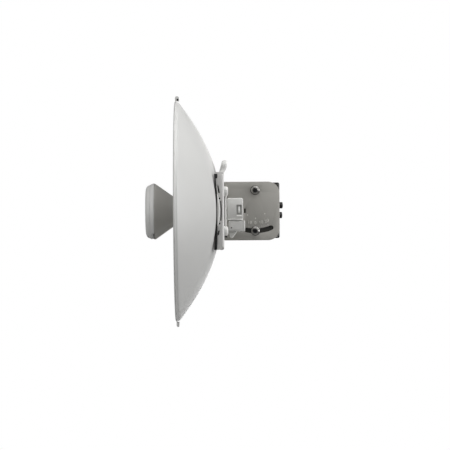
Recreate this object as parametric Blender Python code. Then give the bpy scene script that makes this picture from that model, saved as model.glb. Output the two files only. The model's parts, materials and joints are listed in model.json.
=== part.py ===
"""Wireless bridge dish antenna on a tilting pole bracket, modelled in metres.

+X points from the dish towards the pole, +Y away from the photograph's camera, +Z up.
The origin lies on the flat outer face of the rear clamp jaw.
"""

import math

import bmesh
import bpy
from mathutils import Matrix, Vector

# Air left between pieces that touch on the real antenna
GAP = 0.0003

# Reflector, a parabola of revolution about the line Y = DISH_Y, Z = 0
DISH_Y = -0.090
SHEET = 0.002
APEX_X = -0.118
FOCAL_LENGTH = 0.1407
HUB_FLAT_R = 0.070
FEED_HOLE_R = 0.0142
SHELL_R = 0.2205
HEM_R = 0.2235
RIM_FRONT_X = -0.2131
LIP_R = HEM_R - 0.001
LIP_BEND = 0.0022
HEM_DEPTH = 0.0034
HEM_ROUND = 0.0009
HEM_WALL = 0.0032
LUG_TIP_R = 0.2345
LUG_THICKNESS = 0.004
EYE_WIDTH = 0.0082
EYE_X = RIM_FRONT_X + 0.0049
EYE_HOLE = (0.0012, 0.0030)
EYE_HOLE_R = 0.0019
FOOT_WIDTH = 0.0060
FOOT_X = RIM_FRONT_X + 0.0044

# Feed
TUBE_R = 0.0135
TUBE_WALL = 0.002
CONE_SMALL_R = 0.0145
CONE_SMALL_X = -0.194
CONE_SHOULDER_R = 0.0545
CONE_SHOULDER_X = -0.250
CONE_STEP = 0.0005
CAP_R = 0.0575
CAP_FLAT_R = 0.0405
CAP_EDGE_R = 0.0535
CAP_EDGE_X = -0.2659
CAP_BACK_X = -0.2549
CAP_FRONT_X = -0.2729
COLLAR_R = 0.034
COLLAR_DEPTH = 0.005
COLLAR_CHAMFER = 0.0015

# Back plate, a pressed pan behind the reflector
PLATE = 0.003
PAN_REAR_X = -0.114
PAN_NEAR_Y = DISH_Y - 0.080
PAN_FAR_Y = 0.050
PAN_TOP_Z = 0.079
PAN_LOW_Z = -0.078
PAN_LIP = 0.008
PAN_CORNER_R = 0.006
FINGER_NOTCH_Z = 0.066
HUB_R = 0.0625
# Piece joints that the real pan folds round are drawn this far inside the fold
TUCK = 0.0006

# Near flange of the back plate: its front edge bows forward by EDGE_BOW times z squared
FLANGE_EDGE_X = -0.1281
EDGE_BOW = 0.65
FLANGE_HOLE_X = -0.1230
FLANGE_HOLE_R = 0.0013
FLANGE_HOLES_Z = (0.0252, -0.0250)
SLOT_UPPER = {"centre": (-0.1248, 0.0430), "width": 0.0030, "height": 0.0130, "lean": -0.003}
SLOT_LOWER = {"centre": (-0.1252, -0.0435), "width": 0.0030, "height": 0.0095, "lean": 0.002}
SLIT = {"centre": (-0.1206, 0.0005), "width": 0.0028, "height": 0.040}

# Grab handle on the back plate's top edge
HANDLE_FRONT_X = -0.1235
HANDLE_HALF_Y = 0.048
HANDLE_GRIP = 0.012
HANDLE_TOP_Z = 0.1027
HANDLE_THICKNESS_Z = 0.0085
HANDLE_DEPTH = 0.010
HANDLE_OUTER_R = 0.014
HANDLE_INNER_R = 0.007
HANDLE_LEAN = 0.0063
HANDLE_BULGE = 0.0024

# Domed nuts that hold the reflector to the back plate
CAP_NUT_Y = 0.037
CAP_NUT_Z = 0.0402
CAP_NUT_R = 0.0098
CAP_NUT_DEPTH = 0.0081
CAP_NUT_FLAT_R = 0.0058
CAP_NUT_ROUND = 0.003

# Tilt bracket, a channel folded from plate, and the arc slot round its pivot
TILT_INNER_Y = 0.040
TILT_TOP_Z = 0.0607
TILT_LOW_Z = -0.0596
TILT_CORNER_R = 0.024
PIVOT = Vector((-0.050, 0.0, 0.0433))
SLOT_RADIUS = 0.0833
SLOT_WIDTH = 0.0088
SLOT_LOW_DEG = -12.0
SLOT_HIGH_DEG = 22.6
SIGHTING_SLOT = {"centre": (-0.0714, 0.0009), "width": 0.0035, "height": 0.010}

# Pole clamp
JAW_SIDE_Y = TILT_INNER_Y - GAP
JAW_WEB_X = -0.0745
JAW_EDGE_X = -0.0304
JAW_SIDE_EDGE_X = -0.016
JAW_TOP_Z = 0.0590
JAW_LOW_Z = -0.0554
JAW_CORNER_R = 0.004
JAW_INSET = 0.0008
FRONT_NOTCH_X = -0.0478
JAW_WEB_HOLE_R = 0.0048
REAR_JAW_Y = 0.0345
REAR_JAW_DEPTH = 0.018
REAR_CORNER_R = 0.002
REAR_NOTCH_X = -0.004
SPOT_FACE_R = 0.0080
SPOT_FACE_DEPTH = 0.0006
CLAMP_BOLTS = {"near": (-0.026, 0.012), "far": (0.026, -0.008)}

# Fasteners
BOLT_R = 0.004
BOLT_HOLE_R = 0.0043
BOLT_END_CHAMFER = 0.0006
BOLT_HEAD_R = 0.0080
BOLT_HEAD_DEPTH = 0.0045
BOLT_HEAD_FLAT_R = 0.0045
NUT_ACROSS_FLATS = 0.013
CLAMP_NUT_HEIGHT = 0.0068
TILT_NUT_HEIGHT = 0.0078
NUT_FLANGE_R = 0.009
NUT_FLANGE_EDGE = 0.0014
NUT_FLANGE_DEPTH = 0.0022
CLAMP_BOLT_END = 0.0005
TILT_BOLT_END = 0.0022

# Radio
RADIO_HALF_Y = 0.030
BASE_HALF_Y = 0.032
BASE_HALF_Z = 0.031
BASE_REAR_X = -0.109
BASE_ROUND = 0.001
HOUSING_REAR_X = -0.0745
HOUSING_LOW_Z = -0.018
HOUSING_TOP_Z = 0.025
HOUSING_ROUND = 0.002
LATCH_CENTRE = (-0.0831, 0.0027)
LATCH_WINDOW = (0.0112, 0.0204)
LATCH_DEPTH = 0.003
LATCH_HALF = (0.0026, 0.0062)
LATCH_ROUND = 0.0006
BLOCK_FRONT_X = -0.105
BLOCK_REAR_X = -0.0705
BLOCK_LOW_Z = -0.041
BLOCK_ROUND = 0.0015
COVER_WIDTH = 0.040
COVER_LOW_Z = -0.0540
COVER_TOP = (-0.1045, -0.0875)
COVER_FOOT = (-0.1020, -0.0965)

WHITE_PAINT = ("white_paint", (0.62, 0.62, 0.60), 0.45, 0.0)
GREY_STEEL = ("grey_steel", (0.27, 0.26, 0.24), 0.5, 0.6)
ZINC = ("zinc", (0.55, 0.55, 0.52), 0.35, 0.9)
BLACK_STEEL = ("black_steel", (0.02, 0.02, 0.02), 0.5, 0.6)
OLIVE_STEEL = ("olive_steel", (0.07, 0.07, 0.06), 0.5, 0.5)
RADIO_PLASTIC = ("radio_plastic", (0.50, 0.50, 0.48), 0.5, 0.0)
CONE_PLASTIC = ("cone_plastic", (0.16, 0.155, 0.14), 0.5, 0.0)
CAP_PLASTIC = ("cap_plastic", (0.46, 0.46, 0.45), 0.45, 0.0)


def clear_scene():
    """Remove whatever the file already holds."""
    for old in list(bpy.data.objects):
        bpy.data.objects.remove(old, do_unlink=True)


def material(look):
    """Return the Principled material of one look, made on first use."""
    name, colour, roughness, metallic = look
    if name in bpy.data.materials:
        return bpy.data.materials[name]
    made = bpy.data.materials.new(name)
    made.use_nodes = True
    shader = made.node_tree.nodes["Principled BSDF"]
    shader.inputs["Base Color"].default_value = (*colour, 1.0)
    shader.inputs["Roughness"].default_value = roughness
    shader.inputs["Metallic"].default_value = metallic
    made.diffuse_color = (*colour, 1.0)
    return made


def add_object(name, bm, look, place, parent):
    """Turn a bmesh drawn round its own origin into a named object at a world place."""
    bmesh.ops.remove_doubles(bm, verts=bm.verts, dist=1e-6)
    bmesh.ops.recalc_face_normals(bm, faces=bm.faces)
    mesh = bpy.data.meshes.new(name)
    bm.to_mesh(mesh)
    bm.free()
    mesh.shade_smooth()
    mesh.set_sharp_from_angle(angle=math.radians(30))
    item = bpy.data.objects.new(name, mesh)
    bpy.context.collection.objects.link(item)
    item.data.materials.append(material(look))
    item.parent = parent
    origin = parent.location if parent else Vector((0, 0, 0))
    item.location = Vector(place) - origin
    return item


def as_cutter(item):
    """Hide an object that only shapes another one."""
    item.hide_render = True
    item.display_type = "WIRE"
    return item


def combine(target, others, operation):
    """Join or cut the target by each of the other objects."""
    for other in others:
        step = target.modifiers.new(other.name, "BOOLEAN")
        step.operation = operation
        step.solver = "EXACT"
        step.object = as_cutter(other)
    return target


def turned(profile, sides, across_flats=None):
    """Turn a closed (x, r) profile about local X.

    Points on the axis become single poles. With across_flats, the points as far out as the
    corners of that hexagon are drawn in to its sides.
    """
    bm = bmesh.new()
    loop = [bm.verts.new((x, 0.0, r)) for x, r in profile]
    for start, end in zip(loop, loop[1:] + loop[:1]):
        if start.co.z > 1e-7 or end.co.z > 1e-7:
            bm.edges.new((start, end))
    bmesh.ops.spin(bm, geom=bm.verts[:] + bm.edges[:], cent=(0, 0, 0), axis=(1, 0, 0),
                   angle=math.tau, steps=sides, use_merge=True)
    if across_flats:
        draw_to_hexagon(bm, across_flats)
    return bm


def draw_to_hexagon(bm, across_flats):
    """Pull the outer points of a turned shape onto a hexagon's sides."""
    corner_r = across_flats / math.sqrt(3)
    for vert in bm.verts:
        reach = math.hypot(vert.co.y, vert.co.z)
        if abs(reach - corner_r) > 1e-5:
            continue
        turn = math.atan2(vert.co.y, vert.co.z) % (math.pi / 3) - math.pi / 6
        scale = across_flats / 2 / math.cos(turn) / reach
        vert.co.y *= scale
        vert.co.z *= scale


def circle(centre, radius, sides):
    """Return the points of a circle in a plate's plane."""
    steps = [math.tau * i / sides for i in range(sides)]
    return [(centre[0] + radius * math.cos(a), centre[1] + radius * math.sin(a)) for a in steps]


def corner(centre, radius, start_deg, steps=5):
    """Return a quarter circle of points, or its single sharp corner where radius is 0."""
    if radius == 0:
        return [centre]
    angles = [math.radians(start_deg + 90 * i / steps) for i in range(steps + 1)]
    return [(centre[0] + radius * math.cos(a), centre[1] + radius * math.sin(a)) for a in angles]


def rounded(low, high, radii):
    """Return a rectangle's outline, with a radius for each corner from low, low onwards."""
    (x0, z0), (x1, z1) = low, high
    a, b, c, d = radii
    return (corner((x0 + a, z0 + a), a, 180) + corner((x1 - b, z0 + b), b, 270)
            + corner((x1 - c, z1 - c), c, 0) + corner((x0 + d, z1 - d), d, 90))


def stadium(centre, width, height, lean=0.0):
    """Return an upright slot with round ends whose top lies lean farther along X than its foot."""
    r = width / 2
    half = height / 2 - r
    round_steps = 6
    turns = [math.pi * i / round_steps for i in range(round_steps + 1)]
    loop = ([(r * math.cos(a), half + r * math.sin(a)) for a in turns]
            + [(-r * math.cos(a), -half - r * math.sin(a)) for a in turns])
    return [(centre[0] + x + z / height * lean, centre[1] + z) for x, z in loop]


def plate(outline, holes, thickness):
    """Extrude an outline with holes from the local XZ plane along +Y."""
    bm = bmesh.new()
    edges = []
    for loop in [outline] + holes:
        verts = [bm.verts.new((x, 0.0, z)) for x, z in loop]
        edges += [bm.edges.new((v, w)) for v, w in zip(verts, verts[1:] + verts[:1])]
    bmesh.ops.triangle_fill(bm, use_beauty=True, use_dissolve=False, edges=edges)
    made = bmesh.ops.extrude_face_region(bm, geom=bm.faces[:])
    moved = [v for v in made["geom"] if isinstance(v, bmesh.types.BMVert)]
    bmesh.ops.translate(bm, verts=moved, vec=(0, thickness, 0))
    return bm


def turn_to(bm, axis, angle_deg):
    """Rotate a whole bmesh about one of its own axes."""
    bmesh.ops.rotate(bm, verts=bm.verts, cent=(0, 0, 0),
                     matrix=Matrix.Rotation(math.radians(angle_deg), 3, axis))
    return bm


def block(size, bevel=0.0):
    """Return a box centred on its own origin, with its edges rounded off."""
    bm = bmesh.new()
    bmesh.ops.create_cube(bm, size=1.0)
    bmesh.ops.scale(bm, vec=size, verts=bm.verts)
    if bevel:
        bmesh.ops.bevel(bm, geom=bm.edges[:], offset=bevel, segments=3, profile=0.5,
                        affect="EDGES")
    return bm


def bar(name, low, high, look, parent, bevel=0.0):
    """Place a block by two opposite world corners."""
    low, high = Vector(low), Vector(high)
    return add_object(name, block(high - low, bevel), look, (low + high) / 2, parent)


def reflector_back(r):
    """X of the reflector's convex back at radius r."""
    return APEX_X - max(r, HUB_FLAT_R) ** 2 / (4 * FOCAL_LENGTH)


def reflector_front(r):
    """Point (x, r) of the concave front that faces the back's point at radius r."""
    if r <= HUB_FLAT_R:
        return reflector_back(r) - SHEET, r
    slope = math.atan(r / (2 * FOCAL_LENGTH))
    return reflector_back(r) - SHEET * math.cos(slope), r - SHEET * math.sin(slope)


def build_reflector(parent):
    """Shell with a flat hub, a parabola and a lip turned forward to a rolled hem."""
    steps = 10
    radii = [HUB_FLAT_R + (SHELL_R - HUB_FLAT_R) * i / steps for i in range(steps + 1)]
    back = [(reflector_back(r), r) for r in [FEED_HOLE_R] + radii]
    front = [reflector_front(r) for r in [FEED_HOLE_R] + radii]
    shell_x = reflector_back(SHELL_R)
    hem_x = RIM_FRONT_X + HEM_DEPTH
    inner_r = HEM_R - HEM_WALL
    rim = [(shell_x - LIP_BEND / 3, LIP_R - LIP_BEND / 3),
           (shell_x - LIP_BEND, LIP_R),
           (hem_x, LIP_R),
           (hem_x - HEM_ROUND, HEM_R),
           (RIM_FRONT_X + HEM_ROUND, HEM_R),
           (RIM_FRONT_X, HEM_R - HEM_ROUND),
           (RIM_FRONT_X, inner_r + HEM_ROUND),
           (RIM_FRONT_X + HEM_ROUND, inner_r)]
    profile = [(x - APEX_X, r) for x, r in back + rim + front[::-1]]
    add_object("reflector", turned(profile, 80), WHITE_PAINT, (APEX_X, DISH_Y, 0), parent)


def lug_outline(width, root):
    """Return a tab with a round tip, from its root radius to LUG_TIP_R."""
    r = width / 2
    round_steps = 8
    turns = [math.pi * i / round_steps for i in range(round_steps + 1)]
    tip = [(r * math.cos(a), LUG_TIP_R - r + r * math.sin(a)) for a in turns]
    return tip + [(-r, root), (r, root)]


def build_rim_lugs(parent):
    """Eye above the rim and a plain foot below it."""
    root = HEM_R + GAP
    low_y = DISH_Y - LUG_THICKNESS / 2
    hole = circle((EYE_HOLE[0], root + EYE_HOLE[1]), EYE_HOLE_R, 12)
    eye = plate(lug_outline(EYE_WIDTH, root), [hole], LUG_THICKNESS)
    add_object("rim_eye_top", eye, WHITE_PAINT, (EYE_X, low_y, 0), parent)
    foot = turn_to(plate(lug_outline(FOOT_WIDTH, root), [], LUG_THICKNESS), "Y", 180)
    add_object("rim_foot_bottom", foot, WHITE_PAINT, (FOOT_X, low_y + LUG_THICKNESS, 0), parent)


def build_feed(parent):
    """Collar, waveguide tube, dark cone and light cap on the dish axis."""
    axis = (0, DISH_Y, 0)
    front_x = reflector_back(0) - SHEET - GAP
    collar_x = front_x - COLLAR_DEPTH
    collar = [(front_x, TUBE_R + GAP), (front_x, COLLAR_R), (collar_x + COLLAR_CHAMFER, COLLAR_R),
              (collar_x, COLLAR_R - COLLAR_CHAMFER), (collar_x, TUBE_R + GAP)]
    add_object("feed_collar", turned(collar, 40), CAP_PLASTIC, axis, parent)
    tube_front = CONE_SMALL_X + GAP
    tube = [(PAN_REAR_X, TUBE_R - TUBE_WALL), (PAN_REAR_X, TUBE_R), (tube_front, TUBE_R),
            (tube_front, TUBE_R - TUBE_WALL)]
    add_object("feed_tube", turned(tube, 32), ZINC, axis, parent)
    cone_face = CAP_BACK_X + GAP
    cone = [(CONE_SMALL_X, 0), (CONE_SMALL_X, CONE_SMALL_R), (CONE_SHOULDER_X, CONE_SHOULDER_R),
            (cone_face, CAP_R - CONE_STEP), (cone_face, 0)]
    add_object("feed_cone", turned(cone, 48), CONE_PLASTIC, axis, parent)
    add_object("feed_cap", turned(cap_profile(), 48), CAP_PLASTIC, axis, parent)


def cap_profile():
    """Flat front, rounded front edge and a band that widens towards the cone."""
    steps = 5
    arc = []
    for i in range(steps + 1):
        angle = math.pi / 2 * i / steps
        arc.append((CAP_EDGE_X - (CAP_EDGE_X - CAP_FRONT_X) * math.cos(angle),
                    CAP_FLAT_R + (CAP_EDGE_R - CAP_FLAT_R) * math.sin(angle)))
    return [(CAP_BACK_X, 0), (CAP_BACK_X, CAP_R)] + arc[::-1] + [(CAP_FRONT_X, 0)]


def build_hub(parent):
    """Spacer ring between the reflector's flat and the back plate."""
    front_x = reflector_back(0) + GAP
    rear_x = PAN_REAR_X - PLATE - GAP
    ring = [(front_x, FEED_HOLE_R), (front_x, HUB_R), (rear_x, HUB_R),
            (rear_x, FEED_HOLE_R)]
    add_object("hub_spacer", turned(ring, 48), GREY_STEEL, (0, DISH_Y, 0), parent)


def flange_outline():
    """Near flange of the pan: its front edge bows towards the reflector's back."""
    steps = 14
    rear = PAN_REAR_X - TUCK
    low, high = PAN_LOW_Z + TUCK, PAN_TOP_Z - TUCK
    heights = [high + (low - high) * i / steps for i in range(steps + 1)]
    edge = [(FLANGE_EDGE_X - EDGE_BOW * z ** 2, z) for z in heights]
    return [(rear, low), (rear, high)] + edge


def pan_outline(half_y, notch_centre, notch_half):
    """Outline of the pan's web, with the finger notch in its top edge."""
    r = PAN_CORNER_R
    outline = rounded((-half_y, PAN_LOW_Z), (half_y, PAN_TOP_Z), [r] * 4)
    far, near = notch_centre + notch_half, notch_centre - notch_half
    notch = ([(far, PAN_TOP_Z)] + corner((far - r, FINGER_NOTCH_Z + r), r, 270)[::-1]
             + corner((near + r, FINGER_NOTCH_Z + r), r, 180)[::-1] + [(near, PAN_TOP_Z)])
    last_corner = len(outline) * 3 // 4
    return outline[:last_corner] + notch + outline[last_corner:]


def build_back_plate(parent):
    """Pan with a deep near flange, short lips on the other sides and a feed hole."""
    mid_y = (PAN_NEAR_Y + PAN_FAR_Y) / 2
    half_y = (PAN_FAR_Y - PAN_NEAR_Y) / 2 - TUCK
    feed_y = DISH_Y - mid_y
    notch_y = HANDLE_HALF_Y - HANDLE_GRIP
    outline = pan_outline(half_y, feed_y, notch_y)
    feed_hole = circle((feed_y, 0), FEED_HOLE_R, 24)
    nut_holes = [circle((feed_y + CAP_NUT_Y * sy, CAP_NUT_Z * sz), BOLT_HOLE_R, 10)
                 for sy in (-1, 1) for sz in (-1, 1)]
    web = add_object("back_plate", turn_to(plate(outline, [feed_hole] + nut_holes, PLATE), "Z", 90),
                     GREY_STEEL, (PAN_REAR_X, mid_y, 0), parent)
    slots = [stadium(**SLOT_UPPER), stadium(**SLOT_LOWER), stadium(**SLIT)]
    slots += [circle((FLANGE_HOLE_X, z), FLANGE_HOLE_R, 8) for z in FLANGE_HOLES_Z]
    near = add_object("near_flange", plate(flange_outline(), slots, PLATE), GREY_STEEL,
                      (0, PAN_NEAR_Y, 0), parent)
    lip_front = PAN_REAR_X - PAN_LIP
    lip_rear = PAN_REAR_X - TUCK
    low_y, high_y = PAN_NEAR_Y + 2 * TUCK, PAN_FAR_Y - PAN_CORNER_R
    tops = [bar(name, (lip_front, start, PAN_TOP_Z - TUCK - PLATE),
                (lip_rear, end, PAN_TOP_Z - TUCK), GREY_STEEL, parent)
            for name, start, end in (("top_lip_near", low_y, DISH_Y - notch_y - TUCK),
                                     ("top_lip_far", DISH_Y + notch_y + TUCK, high_y))]
    low = bar("low_lip", (lip_front, low_y, PAN_LOW_Z + TUCK),
              (lip_rear, high_y, PAN_LOW_Z + TUCK + PLATE), GREY_STEEL, parent)
    far = bar("far_lip", (lip_front, PAN_FAR_Y - PLATE, PAN_LOW_Z + PAN_CORNER_R),
              (lip_rear, PAN_FAR_Y, PAN_TOP_Z - PAN_CORNER_R), GREY_STEEL, parent)
    combine(web, [near, low, far] + tops, "UNION")


def build_handle(parent):
    """Arched grab handle on the back plate's top edge, leaning back towards the pole.

    Its rear face bulges between the root and the crown.
    """
    root_z = PAN_TOP_Z + GAP
    outer = rounded((-HANDLE_HALF_Y, root_z), (HANDLE_HALF_Y, HANDLE_TOP_Z),
                    (0, 0, HANDLE_OUTER_R, HANDLE_OUTER_R))
    inner_y = HANDLE_HALF_Y - HANDLE_GRIP
    inner = rounded((-inner_y, root_z), (inner_y, HANDLE_TOP_Z - HANDLE_THICKNESS_Z),
                    (0, 0, HANDLE_INNER_R, HANDLE_INNER_R))
    arch = turn_to(arch_plate(outer, inner, HANDLE_DEPTH), "Z", 90)
    for vert in arch.verts:
        rise = (vert.co.z - root_z) / (HANDLE_TOP_Z - root_z)
        bulge = HANDLE_BULGE * math.sin(math.pi * rise) if vert.co.x > -HANDLE_DEPTH / 2 else 0.0
        vert.co.x += HANDLE_LEAN * rise + bulge
    add_object("carry_handle", arch, WHITE_PAINT, (HANDLE_FRONT_X + HANDLE_DEPTH, DISH_Y, 0), parent)


def arch_plate(outer, inner, thickness):
    """Extrude the band between two arches that stand on one line."""
    outline = outer[1:] + [outer[0]] + [inner[0]] + inner[:0:-1]
    return plate(outline, [], thickness)


def build_cap_nuts(parent):
    """Four large domed nuts on the back plate round the radio."""
    edge_r = CAP_NUT_R - CAP_NUT_ROUND / 2
    profile = [(0, 0), (0, CAP_NUT_R), (CAP_NUT_DEPTH - CAP_NUT_ROUND, CAP_NUT_R),
               (CAP_NUT_DEPTH - CAP_NUT_ROUND / 3, edge_r), (CAP_NUT_DEPTH, CAP_NUT_FLAT_R),
               (CAP_NUT_DEPTH, 0)]
    for side, sy in (("near", -1), ("far", 1)):
        for level, sz in (("upper", 1), ("lower", -1)):
            place = (PAN_REAR_X + GAP, DISH_Y + CAP_NUT_Y * sy, CAP_NUT_Z * sz)
            add_object(f"cap_nut_{level}_{side}", turned(profile, 24), RADIO_PLASTIC, place, parent)


def build_radio(parent):
    """Base, housing with a latch window on each side, and lower block."""
    near, far = DISH_Y - RADIO_HALF_Y, DISH_Y + RADIO_HALF_Y
    bar("radio_base", (PAN_REAR_X + GAP, DISH_Y - BASE_HALF_Y, -BASE_HALF_Z),
        (BASE_REAR_X, DISH_Y + BASE_HALF_Y, BASE_HALF_Z), RADIO_PLASTIC, parent, BASE_ROUND)
    housing = bar("radio_housing", (BASE_REAR_X + GAP, near, HOUSING_LOW_Z),
                  (HOUSING_REAR_X, far, HOUSING_TOP_Z), RADIO_PLASTIC, parent, HOUSING_ROUND)
    width, height = LATCH_WINDOW
    x, z = LATCH_CENTRE
    windows = [bar(f"window_{side}", (x - width / 2, face - LATCH_DEPTH, z - height / 2),
                   (x + width / 2, face + LATCH_DEPTH, z + height / 2), RADIO_PLASTIC, parent)
               for side, face in (("near", near), ("far", far))]
    combine(housing, windows, "DIFFERENCE")
    bar("radio_lower_block", (BLOCK_FRONT_X, near, BLOCK_LOW_Z),
        (BLOCK_REAR_X, far, HOUSING_LOW_Z - GAP), RADIO_PLASTIC, parent, BLOCK_ROUND)


def build_latches(parent):
    """A release tongue on the floor of each latch window."""
    x, z = LATCH_CENTRE
    half_x, half_z = LATCH_HALF
    for side, sign in (("near", -1), ("far", 1)):
        face = DISH_Y + sign * RADIO_HALF_Y
        floor = face - sign * (LATCH_DEPTH - GAP)
        bar(f"latch_{side}", (x - half_x, min(floor, face), z - half_z),
            (x + half_x, max(floor, face), z + half_z), RADIO_PLASTIC, parent, LATCH_ROUND)


def build_cable_cover(parent):
    """Tapered hood below the radio's lower block."""
    top_z = BLOCK_LOW_Z - GAP
    outline = [(COVER_TOP[0], top_z), (COVER_FOOT[0], COVER_LOW_Z), (COVER_FOOT[1], COVER_LOW_Z),
               (COVER_TOP[1], top_z)]
    add_object("cable_cover", plate(outline, [], COVER_WIDTH), RADIO_PLASTIC,
               (0, DISH_Y - COVER_WIDTH / 2, 0), parent)


def arc_slot():
    """Return the tilt slot's outline: two arcs about the pivot and two round ends."""
    low, high = math.radians(SLOT_LOW_DEG), math.radians(SLOT_HIGH_DEG)
    half = SLOT_WIDTH / 2
    steps = 10
    round_steps = 6

    def on_arc(radius, angle):
        return PIVOT.x + radius * math.sin(angle), PIVOT.z - radius * math.cos(angle)

    def end(angle, start):
        centre = on_arc(SLOT_RADIUS, angle)
        turns = [start + math.pi * i / round_steps for i in range(1, round_steps)]
        return [(centre[0] + half * math.sin(angle + t), centre[1] - half * math.cos(angle + t))
                for t in turns]

    outer = [on_arc(SLOT_RADIUS + half, low + (high - low) * i / steps) for i in range(steps + 1)]
    inner = [on_arc(SLOT_RADIUS - half, high + (low - high) * i / steps) for i in range(steps + 1)]
    return outer + end(high, 0) + inner + end(low, math.pi)


def build_tilt_bracket(parent):
    """Channel of two tilt plates on a web, with pivot hole, arc slot and sighting slot."""
    web_front = PAN_REAR_X + GAP
    outline = rounded((web_front + TUCK, TILT_LOW_Z), (0, TILT_TOP_Z),
                      (0, TILT_CORNER_R, TILT_CORNER_R, 0))
    holes = [circle((PIVOT.x, PIVOT.z), BOLT_HOLE_R, 16), arc_slot(), stadium(**SIGHTING_SLOT)]
    span = TILT_INNER_Y + PLATE
    web = bar("tilt_bracket", (web_front, TUCK - span, TILT_LOW_Z + TUCK),
              (web_front + PLATE, span - TUCK, TILT_TOP_Z - TUCK), GREY_STEEL, parent)
    near = add_object("tilt_side_near", plate(outline, holes, PLATE), GREY_STEEL, (0, -span, 0),
                      parent)
    far = add_object("tilt_side_far", plate(outline, holes, PLATE), GREY_STEEL,
                     (0, TILT_INNER_Y, 0), parent)
    combine(web, [near, far], "UNION")


def notched(edge_x, back_x, half_y, notch_x):
    """Outline in the XY plane of a flange with a square V notch open towards edge_x."""
    mouth = abs(edge_x - notch_x)
    return [(back_x, -half_y), (edge_x, -half_y), (edge_x, -mouth), (notch_x, 0), (edge_x, mouth),
            (edge_x, half_y), (back_x, half_y)]


def flat_flange(name, outline, low_z, look):
    """Place a horizontal flange whose outline is given in the XY plane."""
    bm = turn_to(plate(outline, [], PLATE), "X", 90)
    return add_object(name, bm, look, (0, 0, low_z), None)


def build_front_jaw():
    """Channel between the tilt plates that carries their bolts, with notched ends."""
    holes = [circle((PIVOT.x, PIVOT.z), BOLT_HOLE_R, 16),
             circle((PIVOT.x, PIVOT.z - SLOT_RADIUS), BOLT_HOLE_R, 16)]
    outline = rounded((JAW_WEB_X + TUCK, JAW_LOW_Z), (JAW_SIDE_EDGE_X, JAW_TOP_Z),
                      (0, JAW_CORNER_R, JAW_CORNER_R, 0))
    bolt_holes = [circle((y, z), JAW_WEB_HOLE_R, 12) for y, z in CLAMP_BOLTS.values()]
    half_y = JAW_SIDE_Y - TUCK
    web_outline = rounded((-half_y, JAW_LOW_Z + JAW_INSET / 2), (half_y, JAW_TOP_Z - JAW_INSET / 2),
                          (0, 0, 0, 0))
    web = add_object("front_jaw", turn_to(plate(web_outline, bolt_holes, PLATE), "Z", 90),
                     OLIVE_STEEL, (JAW_WEB_X + PLATE, 0, 0), None)
    near = add_object("jaw_side_near", plate(outline, holes, PLATE), OLIVE_STEEL,
                      (0, -JAW_SIDE_Y, 0), None)
    far = add_object("jaw_side_far", plate(outline, holes, PLATE), OLIVE_STEEL,
                     (0, JAW_SIDE_Y - PLATE, 0), None)
    shape = notched(JAW_EDGE_X, JAW_WEB_X + 2 * TUCK, JAW_SIDE_Y - 2 * TUCK, FRONT_NOTCH_X)
    top = flat_flange("jaw_top", shape, JAW_TOP_Z - JAW_INSET - PLATE, OLIVE_STEEL)
    low = flat_flange("jaw_low", shape, JAW_LOW_Z + JAW_INSET, OLIVE_STEEL)
    combine(web, [near, far, top, low], "UNION")


def build_rear_jaw():
    """Tray behind the pole, with notched ends and a spot-faced hole for each clamp bolt."""
    edge = -REAR_JAW_DEPTH
    bolt_holes = [circle((y, z), BOLT_HOLE_R, 12) for y, z in CLAMP_BOLTS.values()]
    web_outline = rounded((-REAR_JAW_Y, JAW_LOW_Z - JAW_INSET / 2),
                          (REAR_JAW_Y, JAW_TOP_Z + JAW_INSET / 2), [REAR_CORNER_R] * 4)
    web = add_object("rear_jaw", turn_to(plate(web_outline, bolt_holes, PLATE), "Z", 90),
                     OLIVE_STEEL, (0, 0, 0), None)
    sides = []
    for name, low_y in (("rear_side_near", TUCK - REAR_JAW_Y),
                        ("rear_side_far", REAR_JAW_Y - TUCK - PLATE)):
        sides.append(bar(name, (edge, low_y, JAW_LOW_Z), (-1.5 * TUCK, low_y + PLATE, JAW_TOP_Z),
                         OLIVE_STEEL, None))
    shape = notched(edge + JAW_INSET / 2, -2 * TUCK, REAR_JAW_Y - 2 * TUCK, REAR_NOTCH_X)
    ends = [flat_flange("rear_top", shape, JAW_TOP_Z - JAW_INSET - PLATE, OLIVE_STEEL),
            flat_flange("rear_low", shape, JAW_LOW_Z + JAW_INSET, OLIVE_STEEL)]
    ring = [(-SPOT_FACE_DEPTH, BOLT_HOLE_R / 2), (-SPOT_FACE_DEPTH, SPOT_FACE_R),
            (SPOT_FACE_DEPTH, SPOT_FACE_R), (SPOT_FACE_DEPTH, BOLT_HOLE_R / 2)]
    seats = [add_object(f"spot_face_{side}", turned(ring, 25), OLIVE_STEEL, (0, y, z), None)
             for side, (y, z) in CLAMP_BOLTS.items()]
    combine(web, seats, "DIFFERENCE")
    combine(web, sides + ends, "UNION")


def bolt_profile(length):
    """Round-headed bolt along +X: its head ends at x = 0 and its shank at x = length."""
    shoulder_r = (BOLT_HEAD_R + BOLT_HEAD_FLAT_R) / 2
    return [(-BOLT_HEAD_DEPTH, 0), (-BOLT_HEAD_DEPTH, BOLT_HEAD_FLAT_R),
            (-BOLT_HEAD_DEPTH * 0.7, shoulder_r), (-BOLT_HEAD_DEPTH * 0.2, BOLT_HEAD_R),
            (0, BOLT_HEAD_R), (0, BOLT_R), (length - BOLT_END_CHAMFER, BOLT_R),
            (length, BOLT_R - BOLT_END_CHAMFER), (length, 0)]


def nut_profile(height, flange_r):
    """Hexagon nut along +X on a round flange, or a plain one where flange_r is 0."""
    corner_r = NUT_ACROSS_FLATS / math.sqrt(3)
    base = [(0, corner_r)]
    if flange_r:
        base = [(0, flange_r), (NUT_FLANGE_EDGE, flange_r), (NUT_FLANGE_DEPTH, corner_r)]
    bore = BOLT_R + GAP / 2
    return [(0, bore)] + base + [(height, corner_r), (height, bore)]


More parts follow.
